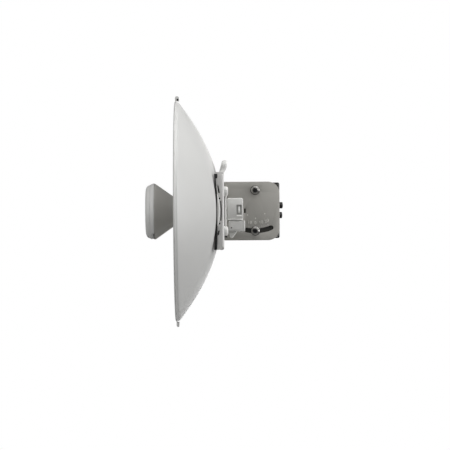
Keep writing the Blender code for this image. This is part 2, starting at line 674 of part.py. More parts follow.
def build_clamp_bolts():
    """Two long bolts that pull the jaws together, each with its nut behind the rear jaw."""
    head_x = JAW_WEB_X - GAP
    seat_x = GAP - SPOT_FACE_DEPTH
    length = seat_x + CLAMP_NUT_HEIGHT + CLAMP_BOLT_END - head_x
    for side, (y, z) in CLAMP_BOLTS.items():
        add_object(f"clamp_bolt_{side}", turned(bolt_profile(length), 16), BLACK_STEEL,
                   (head_x, y, z), None)
        nut = turned(nut_profile(CLAMP_NUT_HEIGHT, 0), 24, NUT_ACROSS_FLATS)
        add_object(f"clamp_nut_{side}", nut, BLACK_STEEL, (seat_x, y, z), None)


def build_tilt_bolts():
    """Bolts and flanged nuts of the pivot and of the slot, on both sides."""
    inner = JAW_SIDE_Y - PLATE - GAP
    outer = TILT_INNER_Y + PLATE + GAP
    length = outer - inner + TILT_NUT_HEIGHT + TILT_BOLT_END
    heights = {"pivot": PIVOT.z, "slot": PIVOT.z - SLOT_RADIUS}
    for job, z in heights.items():
        for side, turn in (("near", -90), ("far", 90)):
            sign = -1 if side == "near" else 1
            bolt = turn_to(turned(bolt_profile(length), 16), "Z", turn)
            add_object(f"{job}_bolt_{side}", bolt, BLACK_STEEL, (PIVOT.x, sign * inner, z), None)
            nut = turned(nut_profile(TILT_NUT_HEIGHT, NUT_FLANGE_R), 24, NUT_ACROSS_FLATS)
            add_object(f"{job}_nut_{side}", turn_to(nut, "Z", turn), ZINC, (PIVOT.x, sign * outer, z),
                       None)


def main():
    """Build the antenna on its tilt axis and the pole clamp that holds it."""
    clear_scene()
    tilt_axis = bpy.data.objects.new("tilt_axis", None)
    bpy.context.collection.objects.link(tilt_axis)
    tilt_axis.location = PIVOT
    build_reflector(tilt_axis)
    build_rim_lugs(tilt_axis)
    build_feed(tilt_axis)
    build_hub(tilt_axis)
    build_back_plate(tilt_axis)
    build_handle(tilt_axis)
    build_cap_nuts(tilt_axis)
    build_radio(tilt_axis)
    build_latches(tilt_axis)
    build_cable_cover(tilt_axis)
    build_tilt_bracket(tilt_axis)
    build_front_jaw()
    build_rear_jaw()
    build_clamp_bolts()
    build_tilt_bolts()


main()
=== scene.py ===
"""Looks of a wireless bridge dish antenna on its tilting pole bracket.

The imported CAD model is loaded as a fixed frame. Each sub-assembly below is a class that
builds the detailed pieces standing for its CAD nodes. Lengths are metres in the frame's
own axes: +X runs from the dish towards the pole, +Y away from the camera and +Z up.
"""

import json
import logging
from collections.abc import Callable, Sequence
from dataclasses import dataclass
from enum import Enum
from math import atan, atan2, copysign, cos, degrees, hypot, pi, radians, sin, sqrt, tau

import bmesh
import bpy
from mathutils import Matrix, Vector

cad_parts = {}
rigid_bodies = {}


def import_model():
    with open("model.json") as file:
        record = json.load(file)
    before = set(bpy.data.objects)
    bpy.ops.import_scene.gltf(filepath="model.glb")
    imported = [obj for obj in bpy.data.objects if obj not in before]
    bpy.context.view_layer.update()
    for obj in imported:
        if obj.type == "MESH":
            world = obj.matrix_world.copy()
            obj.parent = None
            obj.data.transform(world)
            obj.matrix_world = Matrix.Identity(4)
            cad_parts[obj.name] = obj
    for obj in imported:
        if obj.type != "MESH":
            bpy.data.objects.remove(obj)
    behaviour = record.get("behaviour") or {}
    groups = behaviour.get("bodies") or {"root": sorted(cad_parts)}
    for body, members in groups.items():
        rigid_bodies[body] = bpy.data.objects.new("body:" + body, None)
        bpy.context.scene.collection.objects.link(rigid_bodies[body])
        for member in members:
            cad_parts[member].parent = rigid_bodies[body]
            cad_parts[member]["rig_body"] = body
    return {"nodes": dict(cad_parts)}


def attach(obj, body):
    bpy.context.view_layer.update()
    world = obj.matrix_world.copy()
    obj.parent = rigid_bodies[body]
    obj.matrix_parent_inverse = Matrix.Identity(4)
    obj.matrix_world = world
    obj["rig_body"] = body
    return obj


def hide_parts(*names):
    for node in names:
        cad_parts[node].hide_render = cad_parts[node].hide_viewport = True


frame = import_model()

Pair = tuple[float, float]
Outline = list[Pair]
Triple = tuple[float, float, float]
Shape = bmesh.types.BMesh
Vert = bmesh.types.BMVert
Node = bpy.types.Node
Socket = bpy.types.NodeSocket
Tree = bpy.types.NodeTree

LOG = logging.getLogger("dish_antenna")
AXIS_Y = -0.090
GAP = 0.0003
SAME_POINT = 1e-6
ON_PLANE = 1e-7
SLACK = 0.0001
UPRIGHT = 0.9
MITRE_LIMIT = 0.4
X_AXIS = Vector((1, 0, 0))
Y_AXIS = Vector((0, 1, 0))
Z_AXIS = Vector((0, 0, 1))


def clear_strays() -> None:
    """Remove what Blender's start-up file holds beside the frame."""
    for item in list(bpy.data.objects):
        if "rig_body" not in item and not item.name.startswith("body:"):
            bpy.data.objects.remove(item, do_unlink=True)


clear_strays()
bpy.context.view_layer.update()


class Body(Enum):
    """The bodies of the frame."""

    CLAMP = "pole_bracket"
    ANTENNA = "antenna"


class Slot(Enum):
    """The record's material slots."""

    REFLECTOR = "reflector_paint"
    FEED_PLASTIC = "feed_plastic"
    FEED_METAL = "feed_metal"
    CONE = "cone_plastic"
    CAST = "cast_metal"
    PLATE = "plate_paint"
    RADIO = "radio_plastic"
    BRACKET = "bracket_paint"
    JAW = "jaw_paint"
    BLACK = "black_fastener"
    ZINC = "zinc_fastener"


class Side(Enum):
    """The two sides of the bracket and radio, by the sign of their Y."""

    NEAR = -1
    FAR = 1

    @property
    def label(self) -> str:
        """Return the side's name as pieces carry it."""
        return self.name.lower()


# ---- node trees


class Wiring:
    """Adds nodes to one shader tree and links them by name."""

    def __init__(self, tree: Tree) -> None:
        """Keep the node tree of a material, a world or a group."""
        self.tree = tree

    def fill(self, node: Node, sockets: dict) -> None:
        """Set a node's inputs.

        Args:
            node: The node.
            sockets: Values or sockets by input name or number.
        """
        for key, value in sockets.items():
            if isinstance(value, Socket):
                self.tree.links.new(value, node.inputs[key])
            else:
                node.inputs[key].default_value = value

    def add(self, kind: str, sockets: dict | None = None, **settings: object) -> Node:
        """Add a node.

        Args:
            kind: Blender's name of the node type.
            sockets: Values or sockets by input name or number.
            settings: Properties of the node.

        Returns:
            The new node.
        """
        node = self.tree.nodes.new(kind)
        for key, value in settings.items():
            setattr(node, key, value)
        self.fill(node, sockets or {})
        return node

    def maths(self, operation: str, first: object, second: object = 0.0) -> Socket:
        """Return the output of a new Math node on two values or sockets."""
        return self.add("ShaderNodeMath", {0: first, 1: second}, operation=operation).outputs[0]

    def mixed(self, share: object, first: object, second: object) -> Socket:
        """Return two colours or sockets mixed by the second one's share."""
        return self.add("ShaderNodeMix", {0: share, 6: first, 7: second},
                        data_type="RGBA").outputs[2]

    def spread(self, value: object, low: Pair, high: Pair) -> Socket:
        """Return a value mapped from a low range to a high one and held inside it."""
        limits = {"From Min": low[0], "From Max": low[1], "To Min": high[0], "To Max": high[1]}
        return self.add("ShaderNodeMapRange", {"Value": value, **limits}).outputs[0]

    def place(self) -> Socket:
        """Return the shaded point in its object's coordinates."""
        return self.add("ShaderNodeTexCoord").outputs["Object"]

    def height_of(self, direction: Socket) -> Socket:
        """Return the Z part of a direction."""
        return self.add("ShaderNodeSeparateXYZ", {0: direction}).outputs["Z"]

    def noise(self, place: Socket, scale: object, detail: float, roughness: float = 0.5) -> Socket:
        """Return a new noise pattern looked up at a place."""
        return self.add("ShaderNodeTexNoise", {"Vector": place, "Scale": scale, "Detail": detail,
                                               "Roughness": roughness}).outputs["Fac"]


class SharedEffects:
    """Shader node groups that several finishes use, each built once."""

    edge_patches: float = 120.0
    dust_patches: float = 35.0
    rolled: Triple = (60.0, 60.0, 2200.0)

    def __init__(self) -> None:
        """Build every group."""
        self.grain = self._grain()
        self.edges = self._edges()
        self.dust = self._dust()
        self.drawn = self._drawn()

    def _start(self, name: str, inputs: dict[str, float], values: Sequence[str],
               normals: Sequence[str] = ()) -> tuple[Wiring, Node, Node]:
        """Make an empty group with its sockets.

        Args:
            name: Name of the group.
            inputs: Its float inputs with their defaults.
            values: Its float outputs.
            normals: Its vector outputs.

        Returns:
            The wiring, the group's input node and its output node.
        """
        tree = bpy.data.node_groups.new(name, "ShaderNodeTree")
        for label, value in inputs.items():
            made = tree.interface.new_socket(label, in_out="INPUT", socket_type="NodeSocketFloat")
            made.default_value = value
        for labels, kind in ((values, "NodeSocketFloat"), (normals, "NodeSocketVector")):
            for label in labels:
                tree.interface.new_socket(label, in_out="OUTPUT", socket_type=kind)
        wiring = Wiring(tree)
        return wiring, wiring.add("NodeGroupInput"), wiring.add("NodeGroupOutput")

    def _grain(self) -> Tree:
        """Build the fine surface grain with a broad uneven shade under it.

        Returns:
            The group.
        """
        wiring, given, result = self._start(
            "surface_grain", {"Fine Scale": 900.0, "Broad Scale": 14.0},
            ("Height", "Shade", "Speckle"))
        place, fine = wiring.place(), given.outputs[0]
        cells = wiring.add("ShaderNodeTexVoronoi", {"Vector": place, "Scale": fine})
        wiring.fill(result, {
            "Height": wiring.noise(place, fine, 3.0, 0.55),
            "Shade": wiring.noise(place, given.outputs[1], 4.0, 0.6),
            "Speckle": wiring.spread(cells.outputs["Distance"], (0.0, 0.35), (1.0, 0.0))})
        return wiring.tree

    def _edges(self) -> Tree:
        """Build the softened edge normal and the mask of edges that take the edge colour: worn
        edges, and painted edge highlights where that colour is lighter.

        Returns:
            The group.
        """
        wiring, given, result = self._start(
            "edge_wear_and_highlight", {"Radius": 0.0006, "Patch Scale": self.edge_patches}, ("Mask",),
            ("Normal",))
        soft = wiring.add("ShaderNodeBevel", {"Radius": given.outputs[0]}, samples=4).outputs[0]
        flat = wiring.add("ShaderNodeNewGeometry").outputs["Normal"]
        dot = wiring.add("ShaderNodeVectorMath", {0: soft, 1: flat}, operation="DOT_PRODUCT")
        turned_away = wiring.spread(dot.outputs["Value"], (0.72, 0.98), (1.0, 0.0))
        patchy = wiring.spread(wiring.noise(wiring.place(), given.outputs[1], 3.0),
                               (0.42, 0.62), (0.0, 1.0))
        wiring.fill(result, {"Mask": wiring.maths("MULTIPLY", turned_away, patchy),
                             "Normal": soft})
        return wiring.tree

    def _dust(self) -> Tree:
        """Build the dust that settles on surfaces facing up.

        Returns:
            The group.
        """
        wiring, given, result = self._start(
            "settled_dust", {"Patch Scale": self.dust_patches}, ("Mask",))
        normal = wiring.add("ShaderNodeNewGeometry").outputs["Normal"]
        facing_up = wiring.spread(wiring.height_of(normal), (0.25, 1.0), (0.0, 1.0))
        patchy = wiring.spread(wiring.noise(wiring.place(), given.outputs[0], 5.0, 0.65),
                               (0.35, 0.7), (0.0, 1.0))
        wiring.fill(result, {"Mask": wiring.maths("MULTIPLY", facing_up, patchy)})
        return wiring.tree

    def _drawn(self) -> Tree:
        """Build the fine lines of rolled or drawn metal.

        Returns:
            The group.
        """
        names = ("Across X", "Across Y", "Across Z")
        wiring, given, result = self._start("drawn_lines", dict(zip(names, self.rolled)),
                                            ("Lines",))
        stretch = wiring.add("ShaderNodeCombineXYZ", {i: given.outputs[i] for i in range(3)})
        scaled = wiring.add("ShaderNodeVectorMath", {0: wiring.place(), 1: stretch.outputs[0]},
                            operation="MULTIPLY")
        wiring.fill(result, {"Lines": wiring.noise(scaled.outputs[0], 1.0, 2.0)})
        return wiring.tree


EFFECTS = SharedEffects()
DUST_COLOUR = (0.55, 0.53, 0.49, 1.0)
DUST_DULLING = 0.6
SHADE_RANGE = (0.3, 0.7)
BUMP_STRENGTH = 0.6


# ---- finishes


@dataclass(frozen=True)
class Finish:
    """One surface finish: colour, gloss, grain, worn edges with painted edge highlights, and dust.
    """

    name: str
    colour: Triple
    roughness: float
    metallic: float = 0.0
    uneven: float = 0.05
    fine_scale: float = 900.0
    broad_scale: float = 14.0
    relief: float = 0.00004
    edge_radius: float = 0.0005
    edge_colour: Triple = (0.5, 0.5, 0.5)
    edge_share: float = 0.15
    dust_share: float = 0.05
    gloss_spread: Pair = (0.9, 1.12)

    def shade(self, factor: float) -> tuple[float, float, float, float]:
        """Return the finish's colour made lighter or darker by a factor."""
        return (*[min(1.0, part * factor) for part in self.colour], 1.0)

    def material(self) -> bpy.types.Material:
        """Build the finish's material, once.

        Returns:
            The material.
        """
        if self.name in bpy.data.materials:
            return bpy.data.materials[self.name]
        made = bpy.data.materials.new(self.name)
        made.use_nodes = True
        shader = made.node_tree.nodes["Principled BSDF"]
        wiring = Wiring(made.node_tree)
        grain = self.group(wiring, EFFECTS.grain, (self.fine_scale, self.broad_scale))
        edges = self.group(wiring, EFFECTS.edges, (self.edge_radius, EFFECTS.edge_patches))
        dust = self.group(wiring, EFFECTS.dust, (EFFECTS.dust_patches,))
        shade = grain.outputs["Shade"]
        colour = wiring.mixed(wiring.spread(shade, SHADE_RANGE, (0.0, 1.0)),
                              self.shade(1 - self.uneven), self.shade(1 + self.uneven))
        # Edges take the edge colour: wear, and a painted edge highlight where that colour is
        # lighter than the finish's.
        worn_and_lit = wiring.maths("MULTIPLY", edges.outputs["Mask"], self.edge_share)
        colour = wiring.mixed(worn_and_lit, self.marked(wiring, colour, grain), (*self.edge_colour, 1.0))
        dusty = wiring.maths("MULTIPLY", dust.outputs["Mask"], self.dust_share)
        smooth, rough = (self.roughness * part for part in self.gloss_spread)
        gloss = wiring.spread(shade, SHADE_RANGE, (smooth, min(1.0, rough)))
        bump = wiring.add("ShaderNodeBump", {"Strength": BUMP_STRENGTH, "Distance": self.relief,
                                             "Height": self.height(wiring, grain),
                                             "Normal": edges.outputs["Normal"]})
        dulled = wiring.maths("MULTIPLY", dusty, DUST_DULLING)
        wiring.fill(shader, {"Base Color": wiring.mixed(dusty, colour, DUST_COLOUR),
                             "Metallic": self.metallic,
                             "Roughness": wiring.maths("ADD", gloss, dulled),
                             "Normal": bump.outputs[0]})
        self.gloss_extras(shader)
        return made

    def group(self, wiring: Wiring, tree: Tree, values: Sequence[float]) -> Node:
        """Place a shared group in a material.

        Args:
            wiring: Wiring of the material.
            tree: The shared group.
            values: Its input values in order.

        Returns:
            The group node.
        """
        node = wiring.add("ShaderNodeGroup", node_tree=tree)
        for socket, value in zip(node.inputs, values):
            socket.default_value = value
        return node

    def marked(self, wiring: Wiring, colour: Socket, grain: Node) -> Socket:
        """Return the colour with the finish's own marks, none on a plain finish."""
        return colour

    def height(self, wiring: Wiring, grain: Node) -> Socket:
        """Return the height that the bump follows."""
        return grain.outputs["Height"]

    def gloss_extras(self, shader: Node) -> None:
        """Set what a finish adds to the shader, nothing on a plain one."""


@dataclass(frozen=True)
class PowderCoat(Finish):
    """Baked powder paint: a fine orange-peel texture under a thin coat."""

    coat: float = 0.12
    coat_roughness: float = 0.3

    def gloss_extras(self, shader: Node) -> None:
        """Add the paint's thin clear skin."""
        shader.inputs["Coat Weight"].default_value = self.coat
        shader.inputs["Coat Roughness"].default_value = self.coat_roughness


@dataclass(frozen=True)
class Moulding(Finish):
    """Moulded weatherproof plastic with a spark-eroded texture."""

    speckle_share: float = 0.06
    speckle_shade: float = 1.3
    speckle_height: float = 0.4

    def marked(self, wiring: Wiring, colour: Socket, grain: Node) -> Socket:
        """Return the colour with the top of each grain lightened."""
        share = wiring.maths("MULTIPLY", grain.outputs["Speckle"], self.speckle_share)
        return wiring.mixed(share, colour, self.shade(self.speckle_shade))

    def height(self, wiring: Wiring, grain: Node) -> Socket:
        """Return the grain's height with its speckle."""
        speckle = wiring.maths("MULTIPLY", grain.outputs["Speckle"], self.speckle_height)
        return wiring.maths("ADD", grain.outputs["Height"], speckle)


@dataclass(frozen=True)
class BareMetal(Finish):
    """Plated or drawn metal with fine lines across one axis."""

    across: Triple = SharedEffects.rolled
    line_share: float = 0.25
    line_shade: float = 0.6

    def marked(self, wiring: Wiring, colour: Socket, grain: Node) -> Socket:
        """Darken the colour along the drawn lines.

        Args:
            wiring: Wiring of the material.
            colour: Colour so far.
            grain: The grain group; not used here.

        Returns:
            The colour with its lines.
        """
        lines = self.group(wiring, EFFECTS.drawn, self.across)
        share = wiring.spread(lines.outputs["Lines"], (0.4, 0.7), (0.0, self.line_share))
        return wiring.mixed(share, colour, self.shade(self.line_shade))


@dataclass(frozen=True)
class FinishBook:
    """Every finish of the antenna."""

    # An edge colour lighter than its finish's colour paints edge highlights as well as wear.
    dish: Finish = PowderCoat(
        "dish_white_powder_coat", (0.515, 0.515, 0.505), 0.48, uneven=0.02, fine_scale=700.0,
        relief=0.00003, edge_radius=0.0008, edge_colour=(0.72, 0.72, 0.70), edge_share=0.3,
        dust_share=0.06)
    cap: Finish = Moulding(
        "cap_light_plastic", (0.55, 0.55, 0.54), 0.5, uneven=0.02, fine_scale=1500.0,
        relief=0.00002, edge_colour=(0.6, 0.6, 0.58))
    cone: Finish = Moulding(
        "cone_dark_plastic", (0.46, 0.45, 0.423), 0.55, uneven=0.03, fine_scale=1500.0,
        relief=0.00002, edge_colour=(0.3, 0.3, 0.28))
    tube: Finish = BareMetal(
        "feed_drawn_aluminium", (0.72, 0.72, 0.72), 0.3, metallic=1.0, uneven=0.04,
        across=(60.0, 2200.0, 2200.0))
    casting: Finish = BareMetal(
        "hub_cast_alloy", (0.42, 0.42, 0.40), 0.55, metallic=0.6, fine_scale=600.0, relief=0.0001,
        across=(300.0, 300.0, 300.0))
    pan: Finish = PowderCoat(
        "back_plate_grey_paint", (0.575, 0.57, 0.555), 0.5, uneven=0.03,
        edge_colour=(0.62, 0.62, 0.60), edge_share=0.5)
    handle: Finish = PowderCoat(
        "handle_light_paint", (0.60, 0.60, 0.585), 0.45, uneven=0.02, edge_colour=(0.62, 0.62, 0.6))
    # The bead's lighter paint is a painted highlight along the flange's front.
    bead: Finish = PowderCoat(
        "bead_painted_highlight", (0.78, 0.78, 0.76), 0.45, uneven=0.02, edge_colour=(0.7, 0.7, 0.68))
    radio: Finish = Moulding(
        "radio_grey_plastic", (0.60, 0.60, 0.583), 0.5, uneven=0.02, fine_scale=1300.0,
        relief=0.00003, edge_radius=0.0007, edge_colour=(0.70, 0.70, 0.68), edge_share=0.5)
    latch: Finish = Moulding(
        "latch_grey_plastic", (0.75, 0.75, 0.73), 0.42, uneven=0.02, fine_scale=1300.0,
        edge_colour=(0.7, 0.7, 0.68))
    # Darker plastic: in the latch pockets and the neck under the housing it paints the shade of
    # those recesses; on the status light bezel it is the bezel's own dark plastic.
    recess: Finish = Moulding("latch_pocket_plastic", (0.40, 0.40, 0.385), 0.6)
    bracket: Finish = PowderCoat(
        "tilt_bracket_grey_paint", (0.385, 0.376, 0.35), 0.52, uneven=0.03,
        edge_colour=(0.52, 0.51, 0.49), edge_share=0.5)
    # The raised scale's lighter paint is a painted highlight on its marks.
    scale: Finish = PowderCoat(
        "tilt_scale_painted_highlight", (0.50, 0.49, 0.46), 0.5, edge_colour=(0.52, 0.51, 0.49))
    jaw: Finish = PowderCoat(
        "jaw_olive_coating", (0.040, 0.040, 0.035), 0.5, uneven=0.08,
        edge_colour=(0.13, 0.13, 0.12), edge_share=0.5)
    black: Finish = BareMetal(
        "black_oxide_steel", (0.018, 0.018, 0.018), 0.42, metallic=0.5,
        edge_colour=(0.08, 0.08, 0.08), edge_share=0.6)
    zinc: Finish = BareMetal(
        "zinc_plated_steel", (0.33, 0.325, 0.31), 0.30, metallic=1.0,
        edge_colour=(0.60, 0.60, 0.58), edge_share=0.5, across=(500.0, 500.0, 500.0))
    rubber: Finish = Moulding(
        "black_rubber", (0.012, 0.012, 0.012), 0.75, uneven=0.1, edge_colour=(0.04, 0.04, 0.04))
    lens: Finish = Moulding(
        "status_light_lens", (0.16, 0.20, 0.17), 0.15, uneven=0.02, relief=0.000005)


BOOK = FinishBook()


# ---- mesh making


def linked(name: str, data: bpy.types.ID) -> bpy.types.Object:
    """Make an object and put it in the scene.

    Args:
        name: Name of the object.
        data: Its mesh, curve, lamp or camera.

    Returns:
        The object.
    """
    item = bpy.data.objects.new(name, data)
    bpy.context.scene.collection.objects.link(item)
    return item


def meshed(shape: Shape, name: str) -> bpy.types.Mesh:
    """Turn a shape into a mesh with its faces outwards.

    Args:
        shape: The shape, which is used up.
        name: Name of the mesh.

    Returns:
        The mesh.
    """
    bmesh.ops.recalc_face_normals(shape, faces=shape.faces)
    mesh = bpy.data.meshes.new(name)
    shape.to_mesh(mesh)
    shape.free()
    return mesh


def evaluated(item: bpy.types.Object) -> Shape:
    """Return an object's shape as its modifiers leave it.

    Args:
        item: The object.

    Returns:
        A new shape.
    """
    seen = item.evaluated_get(bpy.context.evaluated_depsgraph_get())
    shape = bmesh.new()
    shape.from_mesh(seen.to_mesh())
    seen.to_mesh_clear()
    return shape


@dataclass(frozen=True)
class Ticket:
    """What a finished piece is called, is made of, stands for and rides on."""

    name: str
    slot: Slot
    finish: Finish
    stands_for: tuple[str, ...] = ()
    body: Body = Body.ANTENNA

    def issue(self, shape: Shape, crease: float = 35.0) -> None:
        """Turn a shape in frame coordinates into the finished piece, riding on its body.

        Args:
            shape: The piece's shape, which is used up.
            crease: Angle in degrees above which an edge stays sharp.
        """
        bmesh.ops.remove_doubles(shape, verts=shape.verts, dist=SAME_POINT)
        mesh = meshed(shape, self.name)
        mesh.shade_smooth()
        mesh.set_sharp_from_angle(angle=radians(crease))
        mesh.materials.append(self.finish.material())
        piece = linked(self.name, mesh)
        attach(piece, self.body.value)
        if self.stands_for:
            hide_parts(*self.stands_for)
        LOG.info("made %s, %d faces", self.name, len(mesh.polygons))


def dress_node(node: str, finish: Finish) -> None:
    """Give a CAD node that keeps its own shape its finish.

    Args:
        node: Name of the node.
        finish: Its finish.
    """
    item = frame["nodes"][node]
    item.data.materials.clear()
    item.data.materials.append(finish.material())
    LOG.info("dressed %s", node)


def four_corners(y: float, z: float) -> list[tuple[str, float, float]]:
    """Return label, Y and Z of four places at half distances from the origin."""
    return [(f"{level}_{side.label}", y * side.value, z * sign)
            for side in Side for level, sign in (("upper", 1), ("lower", -1))]


def around(centre: Pair, radius: float, turns: Sequence[float]) -> Outline:
    """Return the points at some angles round a centre."""
    return [(centre[0] + radius * cos(a), centre[1] + radius * sin(a)) for a in turns]


def circle(centre: Pair, radius: float, sides: int) -> Outline:
    """Return the points of a circle."""
    return around(centre, radius, [tau * i / sides for i in range(sides)])


def arc(centre: Pair, radius: float, start: float, sweep: float, steps: int) -> Outline:
    """Return the points of an arc given in degrees, its two ends among them."""
    turns = [radians(start + sweep * i / steps) for i in range(steps + 1)]
    return around(centre, radius, turns)


def round_rectangle(low: Pair, high: Pair, radius: float, steps: int = 4) -> Outline:
    """Return a rectangle with round corners.

    Args:
        low: Lower left corner.
        high: Upper right corner.
        radius: Radius of the corners.
        steps: Steps in each corner.

    Returns:
        The outline, counter-clockwise.
    """
    (x0, z0), (x1, z1) = low, high
    return (arc((x0 + radius, z0 + radius), radius, 180, 90, steps)
            + arc((x1 - radius, z0 + radius), radius, 270, 90, steps)
            + arc((x1 - radius, z1 - radius), radius, 0, 90, steps)
            + arc((x0 + radius, z1 - radius), radius, 90, 90, steps))


def centred_rectangle(centre: Pair, half: Pair, radius: float, steps: int = 4) -> Outline:
    """Return a rectangle with round corners about its centre, from half its sides."""
    return round_rectangle((centre[0] - half[0], centre[1] - half[1]),
                           (centre[0] + half[0], centre[1] + half[1]), radius, steps)


def stadium(centre: Pair, width: float, height: float, lean: float = 0.0) -> Outline:
    """Return an upright slot with round ends.

    Args:
        centre: Middle of the slot.
        width: Its width.
        height: Its height over both ends.
        lean: How far its top lies to the right of its foot.

    Returns:
        The outline, counter-clockwise.
    """
    r = width / 2
    half = height / 2 - r
    loop = arc((0, half), r, 0, 180, 8) + arc((0, -half), r, 180, 180, 8)
    return [(centre[0] + x + z / height * lean, centre[1] + z) for x, z in loop]


def mirrored(loop: Outline) -> Outline:
    """Return a loop with its first coordinate's sign changed."""
    return [(-u, w) for u, w in loop]


def inset(loop: Outline, amount: float) -> Outline:
    """Move a closed loop's points to its left.

    Args:
        loop: Its points.
        amount: Distance; to the right where it is negative.

    Returns:
        The moved points.
    """
    moved = []
    for i, (u, w) in enumerate(loop):
        before = Vector((u, w)) - Vector(loop[i - 1])
        after = Vector(loop[(i + 1) % len(loop)]) - Vector((u, w))
        first = Vector((-before.y, before.x)).normalized()
        second = Vector((-after.y, after.x)).normalized()
        mitre = (first + second).normalized()
        stretch = amount / max(MITRE_LIMIT, mitre.dot(first))
        moved.append((u + mitre.x * stretch, w + mitre.y * stretch))
    return moved


def turned_left(loop: Outline) -> Outline:
    """Return a loop counter-clockwise and without repeated points.

    Args:
        loop: Its points.

    Returns:
        The same loop, reversed if it ran clockwise.
    """
    kept = [p for i, p in enumerate(loop)
            if hypot(p[0] - loop[i - 1][0], p[1] - loop[i - 1][1]) > SAME_POINT]
    area = sum(a[0] * b[1] - b[0] * a[1] for a, b in zip(kept, kept[1:] + kept[:1]))
    return kept if area > 0 else kept[::-1]


def stitch(shape: Shape, rings: list[list[Vert]]) -> None:
    """Join rings of points with a band of faces from each to the next.

    Args:
        shape: The shape that holds them.
        rings: Rings with the same number of points.
    """
    for ring, following in zip(rings, rings[1:]):
        for i, corner in enumerate(ring):
            j = (i + 1) % len(ring)
            shape.faces.new((corner, ring[j], following[j], following[i]))


def sheet(outline: Outline, holes: list[Outline], thickness: float, edge: float,
          steps: int = 2) -> Shape:
    """Make a flat sheet with holes and rounded edges.

    Args:
        outline: Outline in the local XZ plane.
        holes: Outlines of its holes.
        thickness: Thickness along local +Y.
        edge: Radius of its edges.
        steps: Steps in each edge's rounding.

    Returns:
        The sheet.
    """
    shape = bmesh.new()
    turns = [pi / 2 * i / steps for i in range(steps + 1)]
    stations = [(edge * (1 - sin(a)), edge * (1 - cos(a))) for a in turns]
    stations += [(margin, thickness - depth) for margin, depth in reversed(stations)]
    caps: tuple[list, list] = ([], [])
    for loop, sign in [(outline, 1)] + [(hole, -1) for hole in holes]:
        clean = turned_left(loop)
        rings = [[shape.verts.new((u, depth, w)) for u, w in inset(clean, sign * margin)]
                 for margin, depth in stations]
        stitch(shape, rings)
        for cap, ring in zip(caps, (rings[0], rings[-1])):
            cap += [shape.edges.get((v, w)) for v, w in zip(ring, ring[1:] + ring[:1])]
    for cap in caps:
        bmesh.ops.triangle_fill(shape, use_beauty=True, use_dissolve=False, edges=cap)
    return shape


def placed(shape: Shape, origin: Sequence[float], across: Vector = X_AXIS,
           through: Vector = Y_AXIS, upward: Vector = Z_AXIS) -> Shape:
    """Move a shape from local axes to the frame's.

    Args:
        shape: The shape.
        origin: Where its local origin goes.
        across: Where its local X points.
        through: Where its local Y points.
        upward: Where its local Z points.

    Returns:
        The same shape.
    """
    turn = Matrix((across, through, upward)).transposed().to_4x4()
    bmesh.ops.transform(shape, matrix=Matrix.Translation(Vector(origin)) @ turn, verts=shape.verts)
    return shape


def sliced(shape: Shape, normal: Vector, spots: Sequence[float], near: float) -> None:
    """Cut a shape's faces along planes without parting it.

    Args:
        shape: The shape.
        normal: Direction square to the planes.
        spots: Where along that direction they lie.
        near: How close to a plane a point counts as on it.
    """
    for at in spots:
        everything = shape.verts[:] + shape.edges[:] + shape.faces[:]
        bmesh.ops.bisect_plane(shape, geom=everything, plane_co=normal * at, plane_no=normal,
                               dist=near)


@dataclass(frozen=True)
class Bend:
    """A right-angle bend of a flat sheet towards its depth."""

    axis: int
    side: int
    face: float
    thickness: float = 0.003
    inner: float = 0.0012

    @property
    def centre(self) -> float:
        """Depth of the bend's centre, which is also its outer radius."""
        return self.thickness + self.inner

    @property
    def start(self) -> float:
        """Distance along the side at which the bend begins."""
        return self.face - self.centre

    @property
    def length(self) -> float:
        """Length of the bend along the middle of the sheet."""
        return (self.inner + self.thickness / 2) * pi / 2

    def flat(self, depth: float) -> float:
        """Return where a place on the finished flange lies on the flat sheet."""
        return self.side * (self.start + self.length + depth - self.centre)

    def past(self, vert: Vert) -> float:
        """Return how far past the bend's beginning a point lies."""
        return self.side * vert.co[self.axis] - self.start

    def cut(self, shape: Shape, steps: int = 6) -> None:
        """Cut the flat sheet along the bend.

        Args:
            shape: The flat sheet.
            steps: Steps in the bend.
        """
        normal = Vector((0, 0, 0))
        normal[self.axis] = 1.0
        sliced(shape, normal, [self.side * (self.start + self.length * i / steps)
                               for i in range(steps + 1)], ON_PLANE)

    def turn(self, vert: Vert) -> None:
        """Move one point of the flat sheet to its place on the bent one.

        Args:
            vert: The point.
        """
        run = self.past(vert)
        lever = self.centre - vert.co.y
        angle = min(run / self.length, 1.0) * pi / 2
        out = self.start + lever * sin(angle)
        vert.co.y = self.centre - lever * cos(angle) + max(0.0, run - self.length)
        vert.co[self.axis] = self.side * out


def tray_bends(near: float, far: float, top: float, low: float,
               inner: float = 0.0012) -> tuple[Bend, ...]:
    """Return a tray's near, far, top and low bend, given its outer faces."""
    return (Bend(0, -1, -near, inner=inner), Bend(0, 1, far, inner=inner),
            Bend(2, 1, top, inner=inner), Bend(2, -1, -low, inner=inner))


def folded(shape: Shape, bends: Sequence[Bend]) -> Shape:
    """Fold a flat sheet at its bends; a point belongs to the first bend that it lies past.

    Args:
        shape: The flat sheet.
        bends: Its bends.

    Returns:
        The same shape.
    """
    for bend in bends:
        bend.cut(shape)
    for vert in shape.verts:
        for bend in bends:
            if bend.past(vert) > ON_PLANE:
                bend.turn(vert)
                break
    return shape


def beside(axis: Vector) -> tuple[Vector, Vector]:
    """Return two directions square to an axis and to each other."""
    side = (Z_AXIS if abs(axis.z) < UPRIGHT else X_AXIS).cross(axis).normalized()
    return side, axis.cross(side)


